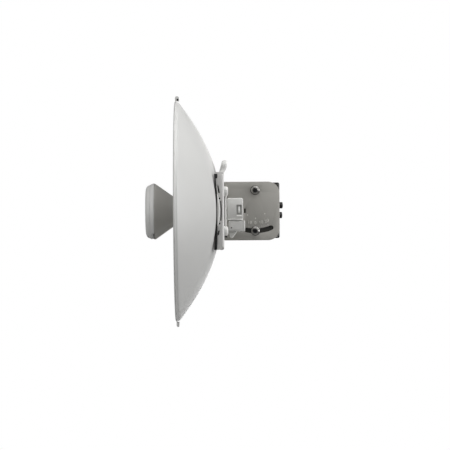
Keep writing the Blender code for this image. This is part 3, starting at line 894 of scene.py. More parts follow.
def lathe(profile: Sequence[Pair], sides: int, origin: Sequence[float], axis: Vector = X_AXIS,
          limit: Callable[[float, float], float] | None = None) -> Shape:
    """Turn a closed profile about an axis.

    Args:
        profile: Points as (distance along the axis, radius).
        sides: Sides of the turned shape.
        origin: Where the axis begins.
        axis: Direction of the axis.
        limit: Gives the radius at an angle from the profile's radius.

    Returns:
        The turned shape.
    """
    shape = bmesh.new()
    side, up = beside(axis)
    base = Vector(origin)
    rings = []
    for along, radius in profile:
        if radius < ON_PLANE:
            rings.append([shape.verts.new(base + axis * along)])
            continue
        ring = []
        for i in range(sides):
            angle = tau * i / sides
            reach = limit(angle, radius) if limit else radius
            ring.append(shape.verts.new(base + axis * along + side * (reach * cos(angle))
                                        + up * (reach * sin(angle))))
        rings.append(ring)
    for ring, following in zip(rings, rings[1:] + rings[:1]):
        if len(ring) == len(following) == 1:
            continue
        for i in range(sides):
            j = (i + 1) % sides
            corners = [ring[i % len(ring)], ring[j % len(ring)], following[j % len(following)],
                       following[i % len(following)]]
            shape.faces.new(list(dict.fromkeys(corners)))
    return shape


def hexagonal(angle: float, radius: float, across_flats: float) -> float:
    """Return a turned shape's radius at an angle, held inside a hexagon."""
    turn = angle % (pi / 3) - pi / 6
    return min(radius, across_flats / 2 / cos(turn))


def rounded_box(low: Sequence[float], high: Sequence[float], radius: float,
                steps: int = 3) -> Shape:
    """Make a box with rounded edges.

    Args:
        low: Its lowest corner.
        high: Its highest corner.
        radius: Radius of its edges.
        steps: Steps in each edge.

    Returns:
        The box.
    """
    low, high = Vector(low), Vector(high)
    shape = bmesh.new()
    bmesh.ops.create_cube(shape, size=1.0)
    bmesh.ops.scale(shape, vec=high - low, verts=shape.verts)
    bmesh.ops.translate(shape, vec=(low + high) / 2, verts=shape.verts)
    bmesh.ops.bevel(shape, geom=shape.edges[:], offset=radius, segments=steps, profile=0.5,
                    affect="EDGES")
    return shape


def swept(path: Sequence[Vector], section: Outline, flat: Vector) -> Shape:
    """Sweep a section along a path.

    Args:
        path: Points of the path.
        section: Closed section as (along flat, across it).
        flat: Direction of the section's first coordinate.

    Returns:
        The shape, closed at both ends.
    """
    shape = bmesh.new()
    rings = []
    for i, point in enumerate(path):
        along = (path[min(i + 1, len(path) - 1)] - path[max(i - 1, 0)]).normalized()
        across = along.cross(flat).normalized()
        rings.append([shape.verts.new(point + flat * a + across * b) for a, b in section])
    stitch(shape, rings)
    shape.faces.new(rings[0])
    shape.faces.new(rings[-1])
    return shape


def carved(shape: Shape, cutters: Sequence[Shape]) -> Shape:
    """Cut shapes out of another.

    Args:
        shape: The shape, which is used up.
        cutters: What is cut out of it, also used up.

    Returns:
        The new shape.
    """
    blank = linked("blank", meshed(shape, "blank"))
    tools = [linked("cutter", meshed(cutter, "cutter")) for cutter in cutters]
    for tool in tools:
        step = blank.modifiers.new("carve", "BOOLEAN")
        step.operation = "DIFFERENCE"
        step.solver = "EXACT"
        step.object = tool
    result = evaluated(blank)
    for item in [blank] + tools:
        bpy.data.objects.remove(item, do_unlink=True)
    return result


def gathered(shapes: Sequence[Shape]) -> Shape:
    """Put several shapes into one.

    Args:
        shapes: The shapes, which are used up.

    Returns:
        One shape with all of them.
    """
    whole = bmesh.new()
    for shape in shapes:
        mesh = meshed(shape, "part")
        whole.from_mesh(mesh)
        bpy.data.meshes.remove(mesh)
    return whole


def raised_number(text: str, height: float, depth: float, turn: float) -> Shape:
    """Make a raised number, its middle at the origin and its face towards local -Y.

    Args:
        text: The number.
        height: Height of its figures.
        depth: How far it stands out.
        turn: Its turn in radians, clockwise as read.

    Returns:
        The number.
    """
    curve = bpy.data.curves.new("number", "FONT")
    curve.body = text
    curve.size = height * 1.4
    curve.align_x = "CENTER"
    curve.align_y = "CENTER"
    curve.extrude = depth
    curve.bevel_depth = depth * 0.3
    curve.offset = height * 0.03
    curve.resolution_u = 3
    item = linked("number", curve)
    shape = evaluated(item)
    bpy.data.objects.remove(item, do_unlink=True)
    upright = Matrix.Rotation(turn, 4, "Y") @ Matrix.Rotation(pi / 2, 4, "X")
    bmesh.ops.transform(shape, matrix=upright, verts=shape.verts)
    return shape


def thread(start: float, end: float, radius: float, pitch: float = 0.00125) -> Outline:
    """Return the ridges of a screw thread as a profile.

    Args:
        start: Where the thread begins along the axis.
        end: Where it ends.
        radius: Outer radius.
        pitch: Distance from ridge to ridge.

    Returns:
        Profile points from start to end.
    """
    turns = int((end - start) / pitch)
    root = radius - pitch * 0.45
    ridges = []
    for i in range(turns):
        at = start + pitch * i
        ridges += [(at, root), (at + pitch * 0.35, radius), (at + pitch * 0.6, radius)]
    return ridges + [(end, root)]


# ---- sub-assemblies


@dataclass
class Reflector:
    """Parabolic dish with a pressed hub, a lip turned forward and a rolled hem."""

    apex_x: float = -0.118
    focal_length: float = 0.1407
    sheet: float = 0.002
    hub_r: float = 0.070
    hole_r: float = 0.0142
    hub_radii: tuple[float, ...] = (0.02, 0.035, 0.05, 0.0636)
    press_span: float = 0.0065
    press_r: float = 0.0662
    press_half: float = 0.0026
    press_depth: float = 0.0009
    curve_steps: int = 34
    shell_r: float = 0.2205
    lip_r: float = 0.2225
    hem_r: float = 0.22349
    rim_front_x: float = -0.2131
    hem_depth: float = 0.0034
    hem_roll: float = 0.0026
    lug_tip_r: float = 0.2345
    lug_thickness: float = 0.004
    eye_back: float = 0.0049
    eye_width: float = 0.0082
    eye_hole: Pair = (0.0012, 0.0030)
    eye_hole_r: float = 0.0019
    eye_plug_r: float = 0.0018
    foot_back: float = 0.0044
    foot_width: float = 0.0060
    weld_half: float = 0.0006
    weld_inset: float = 0.0002
    weld_bulge: float = 0.0008
    stud_y: float = 0.037
    stud_z: float = 0.0402
    stud_dome: tuple[Pair, ...] = ((0, 0), (0, 0.0072), (-0.0004, 0.0075), (-0.0011, 0.0068),
                                   (-0.0018, 0.0050), (-0.0022, 0.0028), (-0.0023, 0))
    sides: int = 200

    def back(self, r: float) -> float:
        """Return X of the convex back at radius r."""
        return self.apex_x - max(r, self.hub_r) ** 2 / (4 * self.focal_length)

    def front(self, r: float) -> Pair:
        """Return the point of the concave front that faces the back at radius r.

        Args:
            r: Radius on the back.

        Returns:
            X and radius on the front.
        """
        if r <= self.hub_r:
            return self.back(r) - self.sheet, r
        slope = atan(r / (2 * self.focal_length))
        return self.back(r) - self.sheet * cos(slope), r - self.sheet * sin(slope)

    def ring(self, r: float) -> float:
        """Return how far the hub's pressed ring is pushed forward at radius r."""
        away = abs(r - self.press_r) / self.press_half
        return self.press_depth * max(0.0, cos(away * pi / 2)) if away < 1 else 0.0

    def profile(self) -> Outline:
        """Draw the dish's section.

        Returns:
            Closed profile as (X, radius).
        """
        radii = [self.hole_r, *self.hub_radii]
        radii += [self.hub_radii[-1] + self.press_span * i / 10 for i in range(1, 10)]
        radii += [self.hub_r + (self.shell_r - self.hub_r) * (i / self.curve_steps)
                  for i in range(self.curve_steps + 1)]
        back = [(self.back(r) - self.ring(r), r) for r in radii]
        front = [(self.front(r)[0] - self.ring(r), self.front(r)[1]) for r in radii]
        hem_x = self.rim_front_x + self.hem_depth
        shell_x = self.back(self.shell_r)
        lip = [(shell_x - 0.0006, self.lip_r - 0.0015), (shell_x - 0.0016, self.lip_r - 0.0010),
               (hem_x + 0.0003, self.lip_r)]
        bead = [(hem_x - 0.0001, self.hem_r - 0.0003), (hem_x - 0.0006, self.hem_r)]
        span = hem_x - 0.0006 - self.rim_front_x
        for i in range(1, 8):
            a = pi / 2 * i / 7
            bead.append((self.rim_front_x + span * (1 - sin(a)),
                         self.hem_r - self.hem_roll * (1 - cos(a))))
        inner = [(self.rim_front_x + 0.0003, self.hem_r - 0.0032),
                 (self.rim_front_x + 0.0011, self.hem_r - 0.0036)]
        return back + lip + bead + inner + front[::-1]

    def build_dish(self) -> None:
        """Turn the dish and finish it."""
        shape = lathe(self.profile(), self.sides, (0, AXIS_Y, 0))
        Ticket("dish_shell", Slot.REFLECTOR, BOOK.dish, ("reflector",)).issue(shape, 50)

    def lug(self, width: float, sign: int) -> Outline:
        """Draw a tab with a round tip.

        Args:
            width: Its width.
            sign: 1 above the rim and -1 below it.

        Returns:
            Its outline.
        """
        r = width / 2
        root = self.hem_r + GAP
        tip = arc((0, self.lug_tip_r - r), r, 0, 180, 14)
        return [(x, sign * z) for x, z in tip + [(-r, root), (r, root)]]

    def build_lugs(self) -> None:
        """Build the eye above the rim and the foot below it, each with its weld."""
        low_y = AXIS_Y - self.lug_thickness / 2
        eye_x, foot_x = self.rim_front_x + self.eye_back, self.rim_front_x + self.foot_back
        hole_x, rise = self.eye_hole
        hole_z = self.hem_r + GAP + rise
        hole = circle((hole_x, hole_z), self.eye_hole_r, 24)
        plug = sheet(circle((0, 0), self.eye_plug_r, 24), [], self.lug_thickness + 2 * GAP,
                     0.0005, 3)
        Ticket("rim_eye_plug", Slot.BLACK, BOOK.black).issue(
            placed(plug, (eye_x + hole_x, low_y - GAP, hole_z)))
        for name, x, width, sign, holes in (("rim_eye_top", eye_x, self.eye_width, 1, [hole]),
                                            ("rim_foot_bottom", foot_x, self.foot_width, -1, [])):
            tab = placed(sheet(self.lug(width, sign), holes, self.lug_thickness, 0.0007, 3),
                         (x, low_y, 0))
            half, bulge = width / 2, self.weld_bulge
            root = sign * (self.hem_r + GAP + self.weld_half)
            weld = rounded_box(
                (x - half + self.weld_inset, low_y - bulge, root - self.weld_half),
                (x + half - self.weld_inset, low_y + self.lug_thickness + bulge,
                 root + self.weld_half), 0.0005)
            Ticket(name + "_welded", Slot.REFLECTOR, BOOK.dish, (name,)).issue(
                gathered([tab, weld]))

    def build_studs(self) -> None:
        """Build the four low stud heads on the hub's front."""
        face = self.front(self.hub_r)[0] - GAP
        for label, y, z in four_corners(self.stud_y, self.stud_z):
            Ticket(f"hub_stud_{label}", Slot.ZINC, BOOK.zinc).issue(
                lathe(self.stud_dome, 32, (face, AXIS_Y + y, z)))

    def build(self) -> None:
        """Build every piece of the dish."""
        self.build_dish()
        self.build_lugs()
        self.build_studs()


@dataclass
class Feed:
    """Collar, waveguide tube, dark cone and light cap on the dish's axis."""

    hub_front_x: float = -0.12871
    tube_r: float = 0.0135
    collar_r: float = 0.034
    collar_depth: float = 0.005
    collar_seat: float = 0.0036
    collar_screw_r: float = 0.0024
    collar_screw_height: float = 0.0013
    collar_screw_circle: float = 0.0220
    cone_small_x: float = -0.194
    cone_small_r: float = 0.0145
    cone_steps: tuple[Pair, ...] = ((-0.1985, 0.0004), (-0.1990, 0.0), (-0.2040, 0.0),
                                    (-0.2045, 0.0004), (-0.2200, 0.0), (-0.2360, 0.0))
    shoulder_x: float = -0.250
    shoulder_r: float = 0.0545
    cap_r: float = 0.0575
    cap_back_x: float = -0.2549
    cap_edge_x: float = -0.2659
    cap_edge_r: float = 0.0535
    cap_flat_r: float = 0.0405
    cap_front_x: float = -0.2729
    band_bulge: float = 0.0028
    band_stops: Pair = (-0.2579, -0.2609)
    seam_x: float = -0.2631
    notch_x: float = -0.2581
    notch_from: float = 50.0
    notch_to: float = 128.0
    notch_ease: float = 5.0
    notch_depth: float = 0.0022
    seal_circle: float = 0.0553
    seal_r: float = 0.0008
    sides: int = 144

    def build_collar(self) -> None:
        """Build the collar round the tube with its three screws."""
        front = self.hub_front_x - GAP
        low, seat = front - self.collar_depth, front - self.collar_seat
        r, bore = self.collar_r, self.tube_r + GAP
        profile = [(front, bore), (front, r), (front - 0.0028, r), (front - 0.0038, r - 0.0005),
                   (front - 0.0044, r - 0.0016), (front - 0.0040, 0.0260), (seat, 0.0250),
                   (seat, 0.0190), (low, 0.0180), (low, self.tube_r + 0.0010),
                   (low + 0.0006, bore)]
        Ticket("feed_collar_turned", Slot.FEED_PLASTIC, BOOK.cap, ("feed_collar",)).issue(
            lathe(profile, 96, (0, AXIS_Y, 0)))
        for i, (y, z) in enumerate(arc((0, 0), self.collar_screw_circle, 90, 240, 2)):
            screw = screw_head((seat, AXIS_Y + y, z), -X_AXIS, self.collar_screw_r,
                               self.collar_screw_height)
            Ticket(f"feed_collar_screw_{i + 1}", Slot.ZINC, BOOK.zinc).issue(screw)

    def build_cone(self) -> None:
        """Build the cone with its turned foot."""
        face = self.cap_back_x + GAP
        slope = (self.shoulder_r - self.cone_small_r) / (self.shoulder_x - self.cone_small_x)
        body = [(self.cone_small_x, 0), (self.cone_small_x, self.cone_small_r - 0.0008),
                (self.cone_small_x - 0.0008, self.cone_small_r + 0.0002)]
        body += [(x, self.cone_small_r + slope * (x - self.cone_small_x) - step)
                 for x, step in self.cone_steps]
        body += [(self.shoulder_x + 0.001, self.shoulder_r - 0.0009),
                 (self.shoulder_x - 0.0002, self.shoulder_r), (face + 0.0012, self.cap_r - 0.0010),
                 (face, self.cap_r - 0.0008), (face, 0)]
        Ticket("feed_cone_turned", Slot.CONE, BOOK.cone, ("feed_cone",)).issue(
            lathe(body, self.sides, (0, AXIS_Y, 0)))

    def band(self, x: float) -> float:
        """Find the radius of the cap's slightly rounded band.

        Args:
            x: Where along the cap.

        Returns:
            The radius there.
        """
        slope = (self.cap_r - self.cap_edge_r) / (self.cap_back_x - self.cap_edge_x)
        share = (x - self.cap_edge_x) / (self.cap_back_x - self.cap_edge_x)
        return (self.cap_edge_r + slope * (x - self.cap_edge_x)
                + self.band_bulge * share * (1 - share))

    def cap_profile(self) -> Outline:
        """Draw the cap: a band, a fine seam, a round shoulder and a slightly domed face.

        Returns:
            Closed profile as (X, radius).
        """
        seam_x, seam_r = self.seam_x, self.band(self.seam_x)
        points = [(self.cap_back_x, 0), (self.cap_back_x, self.cap_r - 0.0005),
                  (self.cap_back_x - 0.0005, self.cap_r)]
        points += [(x, self.band(x)) for x in self.band_stops]
        points += [(seam_x + 0.0004, seam_r), (seam_x + 0.0001, seam_r - 0.0005),
                   (seam_x - 0.0001, seam_r - 0.0005), (seam_x - 0.0004, seam_r - 0.0001)]
        for i in range(11):
            angle = pi / 2 * (1 - i / 10)
            points.append((self.cap_edge_x - (self.cap_edge_x - self.cap_front_x) * cos(angle),
                           self.cap_flat_r + (self.cap_edge_r - self.cap_flat_r) * sin(angle)))
        return points + [(self.cap_front_x + 0.0002, 0.030), (self.cap_front_x + 0.0006, 0.029),
                         (self.cap_front_x + 0.0006, 0.0)]

    def build_cap(self) -> None:
        """Build the cap and press its drain notch into the lower edge of the band."""
        shape = lathe(self.cap_profile(), self.sides, (0, AXIS_Y, 0))
        for vert in shape.verts:
            y, z = vert.co.y - AXIS_Y, vert.co.z
            reach = hypot(y, z)
            below = degrees(atan2(-z, -y))
            away = min(below - self.notch_from, self.notch_to - below)
            if reach > 0.05 and vert.co.x > self.notch_x and away > 0:
                depth = min(1.0, away / self.notch_ease) * self.notch_depth
                vert.co.y -= y / reach * depth
                vert.co.z -= z / reach * depth
        Ticket("feed_cap_turned", Slot.FEED_PLASTIC, BOOK.cap, ("feed_cap",)).issue(shape)
        drain = arc((0, 0), self.seal_circle, self.notch_from, self.notch_to - self.notch_from, 8)
        path = [Vector((self.cap_back_x - 0.0012, AXIS_Y - y, -z)) for y, z in drain]
        Ticket("feed_cap_drain_seal", Slot.FEED_PLASTIC, BOOK.rubber).issue(
            swept(path, circle((0, 0), self.seal_r, 10), X_AXIS))

    def build(self) -> None:
        """Build every piece of the feed."""
        self.build_collar()
        dress_node("feed_tube", BOOK.tube)
        self.build_cone()
        self.build_cap()


def screw_head(place: Sequence[float], axis: Vector, radius: float, height: float) -> Shape:
    """Make a pan-head screw with a cross cut into it.

    Args:
        place: Middle of its seat.
        axis: Direction in which it stands out.
        radius: Radius of its head.
        height: Height of its head.

    Returns:
        The screw head.
    """
    profile = [(0, 0), (0, radius), (height * 0.4, radius), (height * 0.8, radius * 0.86),
               (height, radius * 0.55), (height, 0)]
    head = lathe(profile, 24, place, axis)
    side, up = beside(axis)
    long, wide = radius * 0.6, radius * 0.13
    cross = [(-long, -wide), (long, -wide), (long, wide), (-long, wide)]
    cutters = []
    for first, second in ((side, up), (up, side)):
        slot = sheet(cross, [], height, height * 0.02, 1)
        cutters.append(placed(slot, Vector(place) + axis * height * 0.45, first, axis, second))
    return carved(head, cutters)


@dataclass
class BackPlate:
    """Pressed pan behind the dish, its handle, a black strip that paints the shadow gap at its
    flange's edge, and the four domed nuts.
    """

    rear_x: float = -0.114
    near_y: float = -0.170
    far_y: float = 0.050
    top_z: float = 0.079
    low_z: float = -0.078
    lip: float = 0.008
    thickness: float = 0.003
    relief: float = 0.0004
    ear_inset: float = 0.0006
    notch_z: float = 0.066
    notch_half: float = 0.036
    notch_corner: float = 0.006
    edge_x: float = -0.1281
    edge_bow: float = 0.65
    hole_x: float = -0.1229
    hole_z: float = 0.0252
    hole_r: float = 0.0016
    flange_slots: tuple[tuple[float, ...], ...] = ((-0.1250, 0.0435, 0.0030, 0.0160, -0.003),
                                                   (-0.1252, -0.0435, 0.0030, 0.0095, 0.002))
    slit_x: Pair = (-0.1218, -0.1194)
    slit_top_z: float = 0.0205
    slit_height: float = 0.040
    slit_middle_z: float = 0.0005
    slit_bow: float = 0.0008
    slit_wave: float = 0.044
    strip: tuple[Pair, Pair] = ((-0.1264, -0.0520), (-0.1186, 0.0545))
    bead_top_z: float = 0.034
    bead_height: float = 0.064
    bead_inset: float = 0.0010
    bead_width: float = 0.0012
    bead_swell: float = 0.0036
    # Height of the black plug that paints the shadow under the lower near nut.
    grommet_z: float = -0.0513
    feed_hole_r: float = 0.0142
    stud_hole_r: float = 0.0043
    nut_y: float = 0.037
    nut_z: float = 0.0402
    nut_r: float = 0.0098
    nut_depth: float = 0.0081
    nut_flutes: int = 10
    flute_depth: float = 0.0003
    handle_half: float = 0.048
    handle_grip: float = 0.012
    handle_top_z: float = 0.1027
    handle_front_x: float = -0.1235
    handle_depth: float = 0.010
    handle_lean: float = 0.0063
    handle_bulge: float = 0.0022
    handle_half_width: float = 0.0043
    handle_corner: float = 0.0085
    foot_flare: float = 0.38
    foot_height: float = 0.006
    flange_bow: float = 0.5
    bow_reach: float = 0.016
    # Height, front X and rear X of the black strip before the near flange's edge; it paints the
    # shadow in the gap between dish and flange.
    edging: tuple[tuple[float, float, float], ...] = (
        (0.0747, -0.1334, -0.1272), (0.0663, -0.1334, -0.1272), (0.0651, -0.1331, -0.1303),
        (0.0481, -0.1329, -0.1289), (0.0381, -0.1317, -0.1278), (0.0281, -0.1299, -0.1279),
        (0.0080, -0.1291, -0.1279), (-0.0119, -0.1291, -0.1279), (-0.0359, -0.1313, -0.1272),
        (-0.0479, -0.1321, -0.1269), (-0.0599, -0.1326, -0.1276), (-0.0679, -0.1333, -0.1280),
        (-0.0774, -0.1338, -0.1286))

    def bends(self) -> tuple[Bend, ...]:
        """Return the pan's near, far, top and low bend."""
        return tray_bends(self.near_y, self.far_y, self.top_z, self.low_z)

    def edge(self, z: float) -> float:
        """Return X of the near flange's front edge at height z, where it bows to the dish."""
        return self.edge_x - self.edge_bow * z ** 2

    def outline(self) -> Outline:
        """Draw the pan's flat sheet as (Y, Z).

        Returns:
            Its outline, with an ear at each end of the near flange and relief cuts.
        """
        near, far, top, low = self.bends()
        drop = self.low_z + self.ear_inset - self.top_z + self.ear_inset
        heights = [self.top_z - self.ear_inset + drop * i / 40 for i in range(41)]
        front = [(near.flat(self.rear_x - self.edge(z)), z) for z in heights]
        left, right = -near.start + self.relief, far.start - self.relief
        start_z, end_z = -low.start + self.relief, top.start - self.relief
        ear_y, lip_y = near.flat(near.centre), far.flat(self.lip)
        low_edge, top_edge = low.flat(self.lip), top.flat(self.lip)
        lower = [(ear_y, self.low_z + self.ear_inset), (ear_y, start_z), (left, start_z),
                 (left, low_edge), (right, low_edge), (right, start_z), (lip_y, start_z)]
        notch_near, notch_far = AXIS_Y - self.notch_half, AXIS_Y + self.notch_half
        r = self.notch_corner
        notch = (arc((notch_far - r, self.notch_z + r), r, 0, -90, 5)
                 + arc((notch_near + r, self.notch_z + r), r, 270, -90, 5))
        upper = [(lip_y, end_z), (right, end_z), (right, top_edge), (notch_far, top_edge), *notch,
                 (notch_near, top_edge), (left, top_edge), (left, end_z), (ear_y, end_z),
                 (ear_y, self.top_z - self.ear_inset)]
        return front + lower + upper

    def holes(self) -> list[Outline]:
        """Draw the pan's holes on its flat sheet.

        Returns:
            Their outlines.
        """
        near = self.bends()[0]

        def along(x: float) -> float:
            """Return the flat place of frame X on the near flange."""
            return near.flat(self.rear_x - x)

        loops = [circle((AXIS_Y, 0), self.feed_hole_r, 48)]
        loops += [circle((AXIS_Y + self.nut_y * sy, self.nut_z * sz), self.stud_hole_r, 20)
                  for sy in (-1, 1) for sz in (-1, 1)]
        loops += [stadium((along(x), z), *size) for x, z, *size in self.flange_slots]
        loops += [circle((along(self.hole_x), z), self.hole_r, 16)
                  for z in (self.hole_z, -self.hole_z)]
        heights = [self.slit_top_z - self.slit_height * i / 16 for i in range(17)]
        curve = [(self.slit_bow * cos(pi * (z - self.slit_middle_z) / self.slit_wave), z)
                 for z in heights]
        front_x, rear_x = self.slit_x
        slit = [(along(front_x) + bow, z) for bow, z in curve]
        slit += [(along(rear_x) + bow, z) for bow, z in reversed(curve)]
        return loops + [slit]

    def build_pan(self) -> None:
        """Fold the pan and finish it."""
        flat = sheet(self.outline(), self.holes(), self.thickness, 0.0007)
        shape = placed(folded(flat, self.bends()), (self.rear_x, 0, 0), Y_AXIS, -X_AXIS)
        Ticket("back_plate_folded", Slot.PLATE, BOOK.pan, ("back_plate",)).issue(
            self.bowed(shape), 30)

    def bowed(self, shape: Shape) -> Shape:
        """Draw the near flange in towards its two ends.

        Args:
            shape: The pan, or a piece on its near flange.

        Returns:
            The same shape, bowed.
        """
        for vert in shape.verts:
            share = min(1.0, (self.near_y + self.bow_reach - vert.co.y) / self.bow_reach)
            if share > 0:
                vert.co.y += self.flange_bow * share * vert.co.z ** 2
        return shape

    def on_flange(self, loop: Outline, rise: float, depth: float, rounding: float) -> Shape:
        """Return a flat piece from its outline in X and Z, lying on the near flange."""
        flat = sheet(loop, [], depth, rounding, 3)
        return self.bowed(placed(flat, (0, self.near_y - rise, 0)))

    def build_edging(self) -> None:
        """Build the black rubber strip before the flange, a painted shadow in the gap between dish
        and flange, and the black strip behind the flange's holes, which paints them dark as shade.
        """
        front = [(x, z) for z, x, _ in self.edging]
        rear = [(x, z) for z, _, x in reversed(self.edging)]
        Ticket("flange_edging", Slot.PLATE, BOOK.rubber).issue(
            self.on_flange(front + rear, 0.0008, 0.0016, 0.0004))
        # The black strip behind the flange's holes and slit paints them dark: painted shade.
        strip = round_rectangle(*self.strip, 0.0010)
        Ticket("flange_hole_shade_strip", Slot.PLATE, BOOK.rubber).issue(
            self.on_flange(strip, -self.thickness - 0.0002, 0.0010, 0.0002))

    def build_stiffener(self) -> None:
        """Build the low pressed bead along the middle of the near flange's front edge; its lighter
        paint is a painted highlight.
        """
        top, height = self.bead_top_z, self.bead_height
        front = [(self.edge(z) + self.bead_inset, z)
                 for z in [top - height * i / 24 for i in range(25)]]
        rear = [(x + self.bead_width + self.bead_swell * sin(pi * (top - z) / height), z)
                for x, z in reversed(front)]
        Ticket("flange_bead", Slot.PLATE, BOOK.bead).issue(
            self.on_flange(front + rear, 0.0014, 0.0020, 0.0010))

    def build_grommet(self) -> None:
        """Build a black rubber plug below the lower near nut, put where the nut's shadow falls: a
        painted shadow.
        """
        profile = [(0, 0), (0, 0.0021), (0.0021, 0.0021), (0.0024, 0.0018), (0.0024, 0.0007),
                   (0.0034, 0.0007), (0.0034, 0.0019), (0.0052, 0.0019), (0.0056, 0.0014),
                   (0.0056, 0)]
        Ticket("pan_nut_shadow_plug", Slot.PLATE, BOOK.rubber).issue(
            lathe(profile, 32, (self.rear_x + GAP, AXIS_Y - self.nut_y, self.grommet_z)))

    def build_handle(self) -> None:
        """Sweep the handle over its arch, leaning back and bulging at its rear."""
        root = self.top_z + GAP
        middle = self.handle_half - self.handle_grip / 2
        half, r = self.handle_half_width, self.handle_corner
        crown = self.handle_top_z - half
        left = [(-middle, root + (crown - r - root) * i / 6) for i in range(6)]
        left += [(-middle + r - r * cos(a), crown - r + r * sin(a))
                 for a in [pi / 2 * i / 8 for i in range(9)]]
        span = self.handle_top_z - root
        path = [Vector((self.handle_front_x + self.handle_depth / 2, AXIS_Y + y, z))
                for y, z in left + mirrored(left[::-1])]
        section = centred_rectangle((0, 0), (self.handle_depth / 2, half), 0.0032, 5)
        shape = swept(path, section, X_AXIS)
        for vert in shape.verts:
            share = (vert.co.z - root) / span
            rearward = max(0.0, vert.co.x - self.handle_front_x) / self.handle_depth
            bulge = self.handle_bulge * rearward * max(0.0, sin(pi * share))
            vert.co.x += self.handle_lean * share + bulge
            flare = self.foot_flare * max(0.0, 1 - (vert.co.z - root) / self.foot_height) ** 2
            if flare:
                centre = AXIS_Y + copysign(middle, vert.co.y - AXIS_Y)
                vert.co.y = centre + (vert.co.y - centre) * (1 + flare)
        Ticket("carry_handle_bent", Slot.PLATE, BOOK.handle, ("carry_handle",)).issue(shape)

    def fluted(self, angle: float, radius: float) -> float:
        """Return a nut's radius, drawn in at its shallow grip flutes."""
        if radius <= 0.008:
            return radius
        return radius - self.flute_depth * max(0.0, cos(self.nut_flutes * angle)) ** 3

    def build_nuts(self) -> None:
        """Build the four domed nuts with their grip flutes and stud ends."""
        r, depth = self.nut_r, self.nut_depth
        profile = [(0, 0), (0, r - 0.0002), (0.0002, r), (0.0042, r), (0.0055, r - 0.0004),
                   (0.0067, r - 0.0013), (0.0076, r - 0.0028), (depth, r - 0.0048),
                   (depth - 0.0001, 0.0042), (depth - 0.0012, 0.0038), (depth - 0.0012, 0)]
        stud = [(0, 0), (0, 0.0026), (0.0008, 0.0026), (0.0011, 0.0022), (0.0011, 0)]
        for label, y, z in four_corners(self.nut_y, self.nut_z):
            place = Vector((self.rear_x + GAP, AXIS_Y + y, z))
            Ticket(f"domed_nut_{label}", Slot.RADIO, BOOK.radio, (f"cap_nut_{label}",)).issue(
                lathe(profile, 80, place, X_AXIS, self.fluted))
            Ticket(f"domed_nut_stud_{label}", Slot.ZINC, BOOK.zinc).issue(
                lathe(stud, 24, place + X_AXIS * (depth - 0.0012)))

    def build(self) -> None:
        """Build every piece of the back plate."""
        dress_node("hub_spacer", BOOK.casting)
        self.build_pan()
        self.build_edging()
        self.build_grommet()
        self.build_stiffener()
        self.build_handle()
        self.build_nuts()


